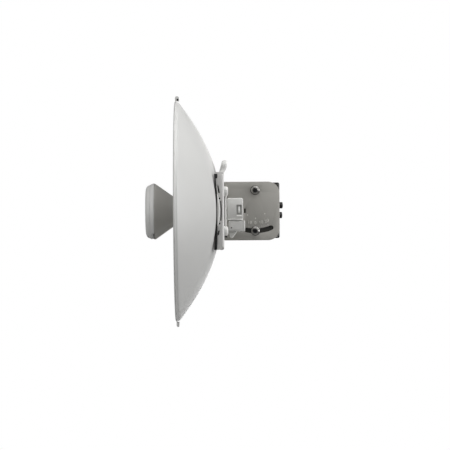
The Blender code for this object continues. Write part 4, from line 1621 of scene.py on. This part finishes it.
@dataclass
class Radio:
    """Radio unit on the back plate: base, housing with two latches, lower block and chin."""

    half_y: float = 0.030
    front_x: float = -0.1137
    base_half_y: float = 0.032
    base_half_z: float = 0.031
    gasket_half_y: float = 0.0305
    gasket_half_z: float = 0.0295
    base_rear_x: float = -0.109
    rear_x: float = -0.0757
    low_z: float = -0.018
    top_z: float = 0.0266
    latch_x: float = -0.0836
    latch_z: float = 0.0031
    window_width: float = 0.0104
    window_height: float = 0.0196
    window_depth: float = 0.003
    crowning: float = 0.12
    housing_front_x: float = -0.1079
    housing_top_corner: float = 0.0034
    housing_foot_corner: float = 0.0016
    lip_front_x: float = -0.1066
    light_z: float = 0.0175
    light_step: float = 0.005
    rib_low_z: float = -0.0120
    rib_step: float = 0.0034
    rib_half_y: float = 0.022
    block_front_x: float = -0.105
    block_rear_x: float = -0.0717
    block_low_z: float = -0.041
    block_top_z: float = -0.0195
    block_draft: float = 0.06
    draft_height: float = 0.0214
    panel: tuple[Pair, Pair] = ((-0.1018, -0.0385), (-0.0738, -0.0205))
    panel_line: float = 0.0005
    block_screw: Pair = (-0.0990, -0.0335)
    hood_half_y: float = 0.020
    plug_x: float = -0.0790
    plug_z: float = -0.0388
    plug_step: float = 0.014

    def face(self, side: Side) -> float:
        """Return Y of the housing's face on a side."""
        return AXIS_Y + side.value * self.half_y

    def on_side(self, shape: Shape, side: Side, stand: float) -> Shape:
        """Return a flat shape moved to a side face, its depth going inwards."""
        start = self.face(side) + side.value * stand
        return placed(shape, (0, start, 0), through=Y_AXIS * -side.value)

    def window(self, grow: float) -> Outline:
        """Return the latch window's outline, grown on all sides."""
        half = (self.window_width / 2 + grow, self.window_height / 2 + grow)
        return centred_rectangle((self.latch_x, self.latch_z), half, 0.0012 + grow)

    def build_base(self) -> None:
        """Build the base, its gasket, the dark necks behind it, whose dark colour paints the shade
        in the gaps round the housing, and its two screws.
        """
        y, near, far = AXIS_Y, self.face(Side.NEAR), self.face(Side.FAR)
        base = rounded_box((self.front_x + 0.0011, y - self.base_half_y, -self.base_half_z),
                           (self.base_rear_x, y + self.base_half_y, self.base_half_z), 0.0014, 4)
        for label, finish, low, high in (
                ("base_gasket", BOOK.rubber,
                 (self.front_x, y - self.gasket_half_y, -self.gasket_half_z),
                 (self.front_x + 0.0013, y + self.gasket_half_y, self.gasket_half_z)),
                ("base_shaded_neck", BOOK.rubber,
                 (self.base_rear_x - 0.0003, near + 0.0035, self.low_z + 0.0015),
                 (self.housing_front_x + 0.0006, far - 0.0035, self.top_z - 0.0015)),
                ("housing_shaded_neck", BOOK.recess,
                 (-0.1035, near + 0.0020, self.block_top_z - 0.0003),
                 (self.rear_x - 0.0015, far - 0.0020, self.low_z + 0.0003))):
            Ticket(f"radio_{label}", Slot.RADIO, finish).issue(rounded_box(low, high, 0.0004, 2))
        Ticket("radio_base_moulded", Slot.RADIO, BOOK.latch, ("radio_base",)).issue(base)
        for side in Side:
            place = (self.base_rear_x, y + 0.022 * side.value, 0.0282)
            Ticket(f"radio_base_screw_{side.label}", Slot.ZINC, BOOK.zinc).issue(
                screw_head(place, X_AXIS, 0.0020, 0.0011))

    def crown(self, body: Shape) -> None:
        """Draw the housing's two sides in towards its top and foot.

        Args:
            body: The housing's mesh.
        """
        middle, half = (self.low_z + self.top_z) / 2, (self.top_z - self.low_z) / 2
        steps = 14
        sliced(body, Z_AXIS, [middle - half + 2 * half * i / steps for i in range(1, steps)],
               SAME_POINT)
        for vert in body.verts:
            rise = (vert.co.z - middle) / half
            vert.co.y = AXIS_Y + (vert.co.y - AXIS_Y) * (1 - self.crowning * rise ** 2)

    def build_housing(self) -> None:
        """Build the housing, its latch windows cut in with a chamfered mouth."""
        big, small = self.housing_top_corner, self.housing_foot_corner
        front, rear, low, top = self.housing_front_x, self.rear_x, self.low_z, self.top_z
        outline = (arc((front + small, low + small), small, 180, 90, 4)
                   + arc((rear - small, low + small), small, 270, 90, 4)
                   + arc((rear - big, top - big), big, 0, 90, 7)
                   + arc((front + big, top - big), big, 90, 90, 7))
        width = abs(self.face(Side.FAR) - self.face(Side.NEAR))
        body = self.on_side(sheet(outline, [], width, 0.0015, 4), Side.NEAR, 0.0)
        self.crown(body)
        cutters = []
        for side in Side:
            well = sheet(self.window(0.0), [], self.window_depth + 0.001, 0.0001, 1)
            mouth = sheet(self.window(0.0006), [], 0.0015, 0.0001, 1)
            cutters += [self.on_side(well, side, 0.001), self.on_side(mouth, side, 0.001)]
        Ticket("radio_housing_moulded", Slot.RADIO, BOOK.radio,
               ("radio_housing",)).issue(carved(body, cutters), 40)
        lip = rounded_box(
            (self.lip_front_x, self.face(Side.NEAR) - 0.0005, self.low_z + 0.0004),
            (self.rear_x + 0.0004, self.face(Side.FAR) + 0.0005, self.low_z + 0.0022), 0.0006, 3)
        Ticket("radio_housing_lip", Slot.RADIO, BOOK.latch).issue(lip)

    def build_latch(self, side: Side) -> None:
        """Build one latch: its tongue, the darker pocket behind it, which paints the window's
        shade, and the ridge below.

        Args:
            side: Which side of the radio.
        """
        label = side.label
        x, z = self.latch_x, self.latch_z
        tongue = centred_rectangle((x, z), (0.0021, 0.0060), 0.0010)
        pieces = [self.on_side(sheet(tongue, [], self.window_depth - GAP, 0.0006, 3), side, 0.0)]
        for drop in (0.0035, 0.0020, 0.0005):
            hook = centred_rectangle((x, z - drop), (0.0017, 0.0004), 0.0003, 2)
            pieces.append(self.on_side(sheet(hook, [], 0.0008, 0.0002, 1), side, 0.0004))
        Ticket(f"latch_tongue_{label}", Slot.RADIO, BOOK.latch, (f"latch_{label}",)).issue(
            gathered(pieces))
        pocket = self.on_side(sheet(self.window(-0.0001), [], 0.0003, 0.0001, 1), side,
                              GAP - self.window_depth)
        Ticket(f"latch_pocket_{label}", Slot.RADIO, BOOK.recess).issue(pocket)
        ridge = rounded_box((x - 0.0055, self.face(side) - 0.0008, -0.0104),
                            (x + 0.0056, self.face(side) + 0.0008, -0.0086), 0.0007, 3)
        Ticket(f"latch_ridge_{label}", Slot.RADIO, BOOK.latch).issue(ridge)

    def build_rear(self) -> None:
        """Build the status lights and the cooling ribs on the housing's rear face."""
        bezel = sheet(centred_rectangle((0, 0), (0.0150, 0.0022), 0.0020), [], 0.0008, 0.0003)
        Ticket("status_light_bezel", Slot.RADIO, BOOK.recess).issue(
            placed(bezel, (self.rear_x - 0.0003, AXIS_Y, self.light_z), Y_AXIS, X_AXIS))
        dome = [(0, 0), (0, 0.0010), (0.0003, 0.0009), (0.0005, 0.0005), (0.0006, 0)]
        start_y = AXIS_Y - 2 * self.light_step
        lenses = [lathe(dome, 16, (self.rear_x + 0.0004, start_y + self.light_step * i,
                                   self.light_z)) for i in range(5)]
        Ticket("status_lights", Slot.RADIO, BOOK.lens).issue(gathered(lenses))
        ribs = [rounded_box((self.rear_x - 0.0006, AXIS_Y - self.rib_half_y, z - 0.0006),
                            (self.rear_x + 0.0008, AXIS_Y + self.rib_half_y, z + 0.0006),
                            0.0004, 2)
                for z in [self.rib_low_z + self.rib_step * i for i in range(7)]]
        Ticket("cooling_ribs", Slot.RADIO, BOOK.radio).issue(gathered(ribs))

    def drafted(self, y: float, z: float) -> float:
        """Return a Y of the lower block drawn in towards the block's foot."""
        drop = self.block_draft * (self.block_top_z - z) / self.draft_height
        return AXIS_Y + (y - AXIS_Y) * (1 - drop)

    def build_lower_block(self) -> None:
        """Build the lower block with its cover screws and side panel lines."""
        block = rounded_box((self.block_front_x, self.face(Side.NEAR), self.block_low_z),
                            (self.block_rear_x, self.face(Side.FAR), self.block_top_z), 0.0018, 4)
        (x0, z0), (x1, z1) = self.panel
        line = self.panel_line
        cutters = []
        for side in Side:
            groove = sheet(round_rectangle((x0, z0), (x1, z1), 0.0016),
                           [round_rectangle((x0 + line, z0 + line), (x1 - line, z1 - line),
                                            0.0012)], 0.0016, 0.0001, 1)
            cutters.append(self.on_side(groove, side, 0.001))
        shape = carved(block, cutters)
        for vert in shape.verts:
            vert.co.y = self.drafted(vert.co.y, vert.co.z)
        Ticket("radio_lower_block_moulded", Slot.RADIO, BOOK.radio,
               ("radio_lower_block",)).issue(shape, 40)
        x, z = self.block_screw
        for side in Side:
            screw = screw_head((x, self.drafted(self.face(side), z), z), Y_AXIS * side.value,
                               0.0013, 0.0007)
            Ticket(f"lower_block_screw_{side.label}", Slot.BLACK, BOOK.black).issue(screw)

    def build_chin(self) -> None:
        """Build the hood over the cable openings and the plugs inside it."""
        chin = [(-0.1045, -0.0413), (-0.1024, -0.0520), (-0.1017, -0.0533), (-0.1005, -0.0540),
                (-0.0978, -0.0540), (-0.0966, -0.0536), (-0.0957, -0.0528), (-0.0875, -0.0413)]
        hood = placed(sheet(chin, [], 2 * self.hood_half_y, 0.0014, 3),
                      (0, AXIS_Y - self.hood_half_y, 0))
        Ticket("cable_hood", Slot.RADIO, BOOK.latch, ("cable_cover",)).issue(hood)
        profile = [(0, 0), (0, 0.0046), (0.0010, 0.0046), (0.0013, 0.0042), (0.0013, 0.0030),
                   (0.0024, 0.0026), (0.0026, 0.0020), (0.0026, 0)]
        start_y = AXIS_Y - self.plug_step
        plugs = [lathe(profile, 32, (self.plug_x, start_y + self.plug_step * i, self.plug_z),
                       -Z_AXIS) for i in range(3)]
        Ticket("cable_port_plugs", Slot.RADIO, BOOK.rubber).issue(gathered(plugs))

    def build(self) -> None:
        """Build every piece of the radio."""
        self.build_base()
        self.build_housing()
        for side in Side:
            self.build_latch(side)
        self.build_rear()
        self.build_lower_block()
        self.build_chin()


@dataclass
class TiltBracket:
    """Channel of two tilt plates with a pivot hole, an arc slot and a raised angle scale."""

    web_x: float = -0.1137
    outer_y: float = 0.043
    top_z: float = 0.0607
    low_z: float = -0.0596
    corner_r: float = 0.024
    thickness: float = 0.003
    pivot_x: float = -0.050
    pivot_z: float = 0.0433
    slot_radius: float = 0.0838
    slot_width: float = 0.0097
    slot_low: float = -12.0
    slot_high: float = 22.6
    bolt_r: float = 0.0043
    spare_slot: tuple[Pair, float, float] = ((-0.0714, 0.0009), 0.0035, 0.010)
    tick_start_r: float = 0.0778
    long_tick: Pair = (0.0742, 0.0006)
    short_tick: Pair = (0.0758, 0.0004)
    number_r: float = 0.0675
    number_height: float = 0.0064
    mark_depth: float = 0.0007
    dots: tuple[Pair, ...] = ((-17.5, 0.0537), (0.0, 0.0578), (21.3, 0.0524))
    web_bolt_y: float = 0.024
    web_bolt_z: float = 0.036
    web_bolt_flats: float = 0.0125

    def on_arc(self, radius: float, angle: float) -> Pair:
        """Return X and Z at a radius and a turn about the pivot, in degrees from straight down."""
        turn = radians(angle)
        return self.pivot_x + radius * sin(turn), self.pivot_z - radius * cos(turn)

    def slot(self) -> Outline:
        """Draw the arc slot in X and Z.

        Returns:
            Its outline.
        """
        half, steps = self.slot_width / 2, 24
        span = self.slot_high - self.slot_low
        turns = [self.slot_low + span * i / steps for i in range(steps + 1)]
        outer = [self.on_arc(self.slot_radius + half, turn) for turn in turns]
        inner = [self.on_arc(self.slot_radius - half, turn) for turn in reversed(turns)]
        high, low = (arc(self.on_arc(self.slot_radius, end), half, end + turn, 180, 10)[1:-1]
                     for end, turn in ((self.slot_high, -90), (self.slot_low, 90)))
        return outer + high + inner + low

    def build_channel(self) -> None:
        """Fold the channel from one sheet."""
        near, far = (Bend(0, side.value, self.outer_y, inner=0.0015) for side in Side)
        end = far.flat(0 - self.web_x)
        outline = round_rectangle((-end, self.low_z), (end, self.top_z), self.corner_r, 16)
        side_holes = [circle((self.pivot_x, self.pivot_z), self.bolt_r, 32), self.slot(),
                      stadium(*self.spare_slot)]
        holes = []
        for loop in side_holes:
            flat = [(far.flat(x - self.web_x), z) for x, z in loop]
            holes += [flat, mirrored(flat)]
        shape = folded(sheet(outline, holes, self.thickness, 0.0006), [far, near])
        placed(shape, (self.web_x, 0, 0), Y_AXIS, X_AXIS)
        Ticket("tilt_bracket_folded", Slot.BRACKET, BOOK.bracket,
               ("tilt_bracket",)).issue(shape, 30)

    def build_scale(self) -> None:
        """Build the raised ticks and numbers of the tilt scale beside the slot, in lighter paint as
        a painted highlight.
        """
        face = -self.outer_y
        marks = []
        start, depth = self.tick_start_r, self.mark_depth
        for angle in range(-10, 21, 2):
            end, half = self.short_tick if angle % 10 else self.long_tick
            turn = radians(angle)
            bar = [(-half, -end), (half, -end), (half, -start), (-half, -start)]
            along = Vector((cos(turn), 0, sin(turn)))
            up = Vector((-sin(turn), 0, cos(turn)))
            marks.append(placed(sheet(bar, [], depth, 0.00025, 1),
                                (self.pivot_x, face - 0.0005, self.pivot_z), along, Y_AXIS, up))
        for angle in (-10, 0, 10, 20):
            x, z = self.on_arc(self.number_r, angle)
            number = raised_number(str(abs(angle)), self.number_height, depth, -radians(angle))
            marks.append(placed(number, (x, face, z)))
        dot = [(0, 0), (0, 0.0012), (0.0004, 0.0010), (0.0006, 0.0005), (0.0006, 0)]
        for angle, radius in self.dots:
            x, z = self.on_arc(radius, angle)
            marks.append(lathe(dot, 20, (x, face, z), -Y_AXIS))
        Ticket("tilt_scale", Slot.BRACKET, BOOK.scale).issue(gathered(marks))

    def washered(self, angle: float, radius: float) -> float:
        """Return a web bolt's radius, round at the washer and hexagonal above it."""
        return radius if radius > 0.0080 else hexagonal(angle, radius, self.web_bolt_flats)

    def build_web_bolts(self) -> None:
        """Build the four hexagon bolts that hold the channel to the back plate."""
        head = [(0, 0), (0, 0.0082), (0.0011, 0.0082), (0.0012, 0.0072), (0.0050, 0.0072),
                (0.0056, 0.0062), (0.0056, 0)]
        for label, y, z in four_corners(self.web_bolt_y, self.web_bolt_z):
            Ticket(f"web_bolt_{label}", Slot.ZINC, BOOK.zinc).issue(
                lathe(head, 72, (self.web_x + self.thickness, y, z), X_AXIS, self.washered))

    def build(self) -> None:
        """Build every piece of the tilt bracket."""
        self.build_channel()
        self.build_scale()
        self.build_web_bolts()


@dataclass
class PoleClamp:
    """Two folded jaws with toothed notches that grip the pole."""

    front_x: float = -0.0745
    side_y: float = 0.0397
    side_edge_x: float = -0.016
    flange_edge_x: float = -0.0304
    notch_x: float = -0.0478
    top_z: float = 0.0590
    low_z: float = -0.0554
    rear_side_y: float = 0.0345
    rear_depth: float = 0.018
    rear_notch_depth: float = 0.0042
    thickness: float = 0.003
    bend_inner: float = 0.0006
    relief: float = 0.0003
    corner: float = 0.0025
    bolt_hole_r: float = 0.0048
    stud_hole_r: float = 0.0043
    bolts: tuple[Pair, Pair] = ((-0.026, 0.012), (0.026, -0.008))
    pivot_x: float = -0.050
    pivot_z: float = 0.0433
    slot_radius: float = 0.0833
    spot_face_r: float = 0.0080
    spot_face_depth: float = 0.0006
    tooth: float = 0.0009

    def toothed(self, start: Pair, end: Pair, count: int) -> Outline:
        """Draw a toothed edge between two points, its gullets cut to the left.

        Args:
            start: First point.
            end: Last point.
            count: Number of teeth.

        Returns:
            Points from start to end.
        """
        run = Vector(end) - Vector(start)
        left = Vector((-run.y, run.x)).normalized() * self.tooth
        points = []
        for i in range(count):
            tip = Vector(start) + run * (i / count)
            gullet = Vector(start) + run * ((i + 0.5) / count) + left
            points += [tuple(tip), tuple(gullet)]
        return points + [end]

    def flange(self, bend: Bend, half: float, edge: float, notch: float, teeth: int) -> Outline:
        """Draw a notched end flange on the flat sheet, from its +Y to its -Y side.

        Args:
            bend: The flange's bend.
            half: Half its width.
            edge: Depth of its edge.
            notch: Depth of the notch's foot.
            teeth: Teeth on each side of the notch.

        Returns:
            Points along its edge.
        """
        mouth = edge - notch
        rim, foot = bend.flat(edge), bend.flat(notch)
        first = self.toothed((mouth, rim), (0.0, foot), teeth)
        second = self.toothed((0.0, foot), (-mouth, rim), teeth)
        return [(half, rim)] + first + second[1:] + [(-half, rim)]

    def jaw(self, bends: tuple[Bend, ...], depths: tuple[float, float, float], teeth: int,
            holes: list[Outline]) -> Shape:
        """Fold a jaw, its flat sheet lying in (Y, Z).

        Args:
            bends: Near, far, top and low bend.
            depths: Depth of the two sides, of the two ends and of the notches' feet.
            teeth: Teeth on each side of a notch.
            holes: Its holes on the flat sheet.

        Returns:
            The folded sheet.
        """
        near, far, top, low = bends
        depth, edge, notch = depths
        half = far.start - self.relief
        reach, r = far.flat(depth), self.corner
        ends_top = self.flange(top, half, edge, notch, teeth)
        ends_low = mirrored(self.flange(low, half, edge, notch, teeth))
        top_z, low_z = top.start - self.relief, -low.start + self.relief
        right = ([(half, low_z)] + arc((reach - r, low_z + r), r, 270, 90, 5)
                 + arc((reach - r, top_z - r), r, 0, 90, 5) + [(half, top_z)])
        outline = right + ends_top + mirrored(right[::-1]) + ends_low
        flat = sheet(outline, holes, self.thickness, 0.0005, 1)
        return folded(flat, (far, near, top, low))

    def build_front(self) -> None:
        """Fold the front jaw, which carries the tilt bolts."""
        bends = tray_bends(-self.side_y, self.side_y, self.top_z, self.low_z, self.bend_inner)
        holes = [circle(spot, self.bolt_hole_r, 24) for spot in self.bolts]
        for z in (self.pivot_z, self.pivot_z - self.slot_radius):
            flat = circle((bends[1].flat(self.pivot_x - self.front_x), z), self.stud_hole_r, 24)
            holes += [flat, mirrored(flat)]
        depths = (self.side_edge_x - self.front_x, self.flange_edge_x - self.front_x,
                  self.notch_x - self.front_x)
        shape = placed(self.jaw(bends, depths, 7, holes), (self.front_x, 0, 0), Y_AXIS, X_AXIS)
        Ticket("front_jaw_folded", Slot.JAW, BOOK.jaw, ("front_jaw",), Body.CLAMP).issue(shape, 30)

    def build_rear(self) -> None:
        """Fold the rear jaw behind the pole and face its two bolt holes."""
        bends = tray_bends(-self.rear_side_y, self.rear_side_y, self.top_z, self.low_z,
                           self.bend_inner)
        holes = [circle(spot, self.stud_hole_r, 24) for spot in self.bolts]
        depths = (self.rear_depth, self.rear_depth - 0.0004, self.rear_notch_depth)
        shape = placed(self.jaw(bends, depths, 5, holes), (0, 0, 0), Y_AXIS, -X_AXIS)
        r, depth = self.spot_face_r, self.spot_face_depth
        ring = [(-depth, 0.002), (-depth, r - 0.0003), (-depth + 0.0003, r), (depth, r),
                (depth, 0.002)]
        cutters = [lathe(ring, 49, (0, y, z)) for y, z in self.bolts]
        Ticket("rear_jaw_folded", Slot.JAW, BOOK.jaw, ("rear_jaw",), Body.CLAMP).issue(
            carved(shape, cutters), 30)

    def build(self) -> None:
        """Build both jaws."""
        self.build_front()
        self.build_rear()


@dataclass
class Fasteners:
    """Clamp bolts along X, and the bolts of the pivot and the slot along Y, with their nuts."""

    bolt_r: float = 0.004
    across_flats: float = 0.013
    nut_height: float = 0.0068
    flanged_height: float = 0.0078
    flange_r: float = 0.009
    head_r: float = 0.0080
    head_depth: float = 0.0045
    seat_x: float = -0.0003
    jaw_inner_y: float = 0.0364
    plate_outer_y: float = 0.0433
    clamp_thread: float = 0.030
    tilt_thread: float = 0.0105
    bolt_rise: float = 0.0022
    # Black washer wider than the nut's flange; besides being a washer, its dark ring paints the
    # shadow round the nut.
    washer: tuple[Pair, ...] = ((-0.0003, 0.0050), (-0.0003, 0.0098), (0.0002, 0.0098),
                                (0.0002, 0.0050))
    notches: int = 24
    notch_depth: float = 0.00018

    def bolt(self, length: float, threaded: float) -> Outline:
        """Draw a round-headed bolt with its head ending at 0.

        Args:
            length: Length of the shank.
            threaded: Length of the thread at its end.

        Returns:
            Closed profile.
        """
        depth, r = self.head_depth, self.head_r
        head = [(-depth, 0), (-depth, 0.0036), (-depth * 0.93, 0.0049), (-depth * 0.72, 0.0065),
                (-depth * 0.42, 0.0076), (-0.0008, r), (0, r - 0.0002)]
        end = length - 0.0006
        return head + [(0, self.bolt_r)] + thread(length - threaded, end, self.bolt_r) + [
            (length, self.bolt_r - 0.0010), (length, 0)]

    def nut(self, height: float, flange: bool) -> Outline:
        """Draw a nut, with a sloped flange if it has one.

        Args:
            height: Its height.
            flange: Whether it has a flange.

        Returns:
            Closed profile.
        """
        bore, corner = self.bolt_r + GAP / 2, self.nut_corner()
        base = [(0.0002, bore + 0.0006), (0, bore + 0.0008), (0, corner - 0.0006), (0.0007, corner)]
        if flange:
            r = self.flange_r
            base = [(0, bore + 0.0004), (0, r - 0.0002), (0.0002, r), (0.0011, r),
                    (0.0013, r - 0.0002), (0.0021, corner + 0.0002), (0.0023, corner)]
        fall = 0.0030 if flange else 0.0010
        return [(0.0004, bore), *base, (height - fall, corner),
                (height - fall * 0.2, corner - 0.0017), (height, bore + 0.0008),
                (height - 0.0006, bore)]

    def nut_corner(self) -> float:
        """Return the radius of a nut at the corners of its hexagon."""
        return self.across_flats / sqrt(3)

    def hexed(self, angle: float, radius: float) -> float:
        """Return the radius of a nut, hexagonal inside its flange."""
        in_flange = radius > self.nut_corner() + SLACK
        return radius if in_flange else hexagonal(angle, radius, self.across_flats)

    def serrated(self, angle: float, radius: float) -> float:
        """Return the radius of a flanged nut with a finely notched flange."""
        notched = radius - self.notch_depth * (1 + cos(self.notches * angle)) / 2
        return self.hexed(angle, radius) if radius < self.flange_r - SLACK else notched

    def issue(self, name: str, shape: Shape, finish: Finish, node: str = "") -> None:
        """Issue a piece of the clamp's hardware, in the slot that its finish calls for."""
        slot = Slot.ZINC if finish is BOOK.zinc else Slot.BLACK
        Ticket(name, slot, finish, (node,) if node else (), Body.CLAMP).issue(shape)

    def build_clamp(self) -> None:
        """Build the two long bolts and their black nuts."""
        head_x = PoleClamp.front_x - GAP
        length = self.seat_x + self.nut_height + 0.0005 - head_x
        bolt, nut = self.bolt(length, self.clamp_thread), self.nut(self.nut_height, False)
        for side, (y, z) in zip(("near", "far"), PoleClamp.bolts):
            self.issue(f"long_bolt_{side}", lathe(bolt, 36, (head_x, y, z)), BOOK.black,
                       f"clamp_bolt_{side}")
            self.issue(f"long_bolt_nut_{side}",
                       lathe(nut, 72, (self.seat_x, y, z), X_AXIS, self.hexed), BOOK.black,
                       f"clamp_nut_{side}")

    def build_tilt(self) -> None:
        """Build the bolts and flanged nuts of the pivot and the slot."""
        top = self.flanged_height
        length = self.plate_outer_y - self.jaw_inner_y + top + self.bolt_rise
        bolt, nut = self.bolt(length, self.tilt_thread), self.nut(top, True)
        insert = [(top - 0.0008, 0.0041), (top - 0.0008, 0.0052), (top + 0.0001, 0.0052),
                  (top + 0.0004, 0.0049), (top + 0.0004, 0.0041)]
        x, pivot_z = PoleClamp.pivot_x, PoleClamp.pivot_z
        for job, z in (("pivot", pivot_z), ("slot", pivot_z - PoleClamp.slot_radius)):
            for side in Side:
                label, axis = side.label, Y_AXIS * side.value
                start = (x, side.value * self.jaw_inner_y, z)
                outer = (x, side.value * self.plate_outer_y, z)
                self.issue(f"{job}_stud_{label}", lathe(bolt, 36, start, axis), BOOK.black,
                           f"{job}_bolt_{label}")
                # The black washer's ring round each flanged nut also paints the shadow round the
                # nut.
                self.issue(f"{job}_washer_{label}", lathe(self.washer, 48, outer, axis),
                           BOOK.black)
                self.issue(f"{job}_lock_insert_{label}", lathe(insert, 36, outer, axis),
                           BOOK.rubber)
                self.issue(f"{job}_flange_nut_{label}",
                           lathe(nut, 144, outer, axis, self.serrated), BOOK.zinc,
                           f"{job}_nut_{label}")

    def build(self) -> None:
        """Build every bolt and nut."""
        self.build_clamp()
        self.build_tilt()


# ---- studio


@dataclass
class Studio:
    """Pale floor, soft light and the camera at the photograph's angle."""

    aim: Triple = (-0.1122, -0.070, -0.0279)
    distance: float = 5.0
    view_width: float = 0.918
    roll: float = 0.35
    floor_z: float = -0.60
    floor_r: float = 0.90
    floor_shade: float = 0.40
    glow: Pair = (0.05, 0.11)
    lamps: tuple[tuple[str, Triple, float, float], ...] = (
        ("overhead_lamp", (0.2, -0.8, 2.6), 2.6, 52.0),
        ("right_top_lamp", (1.7, 0.3, 2.7), 1.8, 21.0),
        ("right_high_lamp", (2.2, -0.8, 1.9), 1.8, 37.0),
        ("right_low_lamp", (2.8, -0.5, 0.3), 1.4, 49.0),
        ("front_left_lamp", (-2.4, -2.6, 0.9), 2.2, 44.0),
        ("left_lamp", (-3.0, -1.2, 1.2), 1.6, 22.0),
        ("rear_lamp", (0.2, 2.9, -0.1), 1.6, 15.0))

    def build_floor(self) -> None:
        """Build the round floor below the picture; from beneath it isn't there."""
        shape = lathe([(0, 0), (0, self.floor_r), (0.010, self.floor_r + 0.004), (0.012, 0)], 96,
                      (*self.aim[:2], self.floor_z), -Z_AXIS)
        made = bpy.data.materials.new("studio_floor_matt_white")
        made.use_nodes = True
        wiring = Wiring(made.node_tree)
        facing = wiring.height_of(wiring.add("ShaderNodeNewGeometry").outputs["True Normal"])
        wiring.fill(made.node_tree.nodes["Principled BSDF"], {
            "Base Color": (self.floor_shade, self.floor_shade, self.floor_shade, 1.0),
            "Roughness": 0.9, "Alpha": wiring.maths("GREATER_THAN", facing, 0.9)})
        floor = linked("studio_floor", meshed(shape, "studio_floor"))
        floor.data.materials.append(made)

    def build_world(self) -> None:
        """Build a white backdrop that lights faintly, and more from above than from below."""
        world = bpy.data.worlds.new("studio_world")
        bpy.context.scene.world = world
        world.use_nodes = True
        world.node_tree.nodes.clear()
        wiring = Wiring(world.node_tree)
        way = wiring.height_of(wiring.add("ShaderNodeTexCoord").outputs["Generated"])
        soft = wiring.add("ShaderNodeBackground", {
            "Color": (1.0, 0.995, 0.98, 1.0),
            "Strength": wiring.spread(way, (-1.0, 1.0), self.glow)})
        white = wiring.add("ShaderNodeBackground", {"Color": (1.0, 1.0, 1.0, 1.0), "Strength": 1.0})
        seen = wiring.add("ShaderNodeLightPath").outputs["Is Camera Ray"]
        both = wiring.add("ShaderNodeMixShader", {0: seen, 1: soft.outputs[0], 2: white.outputs[0]})
        wiring.add("ShaderNodeOutputWorld", {"Surface": both.outputs[0]})

    def build_lamp(self, name: str, place: Triple, size: float, power: float) -> None:
        """Build one soft lamp aimed at the antenna.

        Args:
            name: Name of the lamp.
            place: Where it stands.
            size: Width of its square.
            power: Power in watts.
        """
        data = bpy.data.lights.new(name, "AREA")
        data.shape = "SQUARE"
        data.size = size
        data.energy = power
        lamp = linked(name, data)
        lamp.location = place
        lamp.rotation_mode = "QUATERNION"
        lamp.rotation_quaternion = (Vector(self.aim) - Vector(place)).to_track_quat("-Z", "Y")
        lamp.visible_camera = False

    def build_camera(self) -> None:
        """Build the camera level with the antenna and looking along +Y."""
        data = bpy.data.cameras.new("photo_camera")
        data.sensor_width = 36.0
        data.lens = data.sensor_width * self.distance / self.view_width
        data.clip_end = 60.0
        camera = linked("photo_camera", data)
        camera.location = (self.aim[0], self.aim[1] - self.distance, self.aim[2])
        camera.rotation_euler = (pi / 2, radians(self.roll), 0)
        bpy.context.scene.camera = camera

    def build(self) -> None:
        """Build the whole studio."""
        bpy.context.scene.view_settings.view_transform = "Standard"
        self.build_floor()
        self.build_world()
        for lamp in self.lamps:
            self.build_lamp(*lamp)
        self.build_camera()


def main() -> None:
    """Build every sub-assembly in order, then the studio."""
    logging.basicConfig(level=logging.INFO, format="%(message)s")
    for assembly in (Reflector(), Feed(), BackPlate(), Radio(), TiltBracket(), PoleClamp(),
                     Fasteners(), Studio()):
        LOG.info("building %s", type(assembly).__name__)
        assembly.build()


if __name__ == "__main__":
    main()
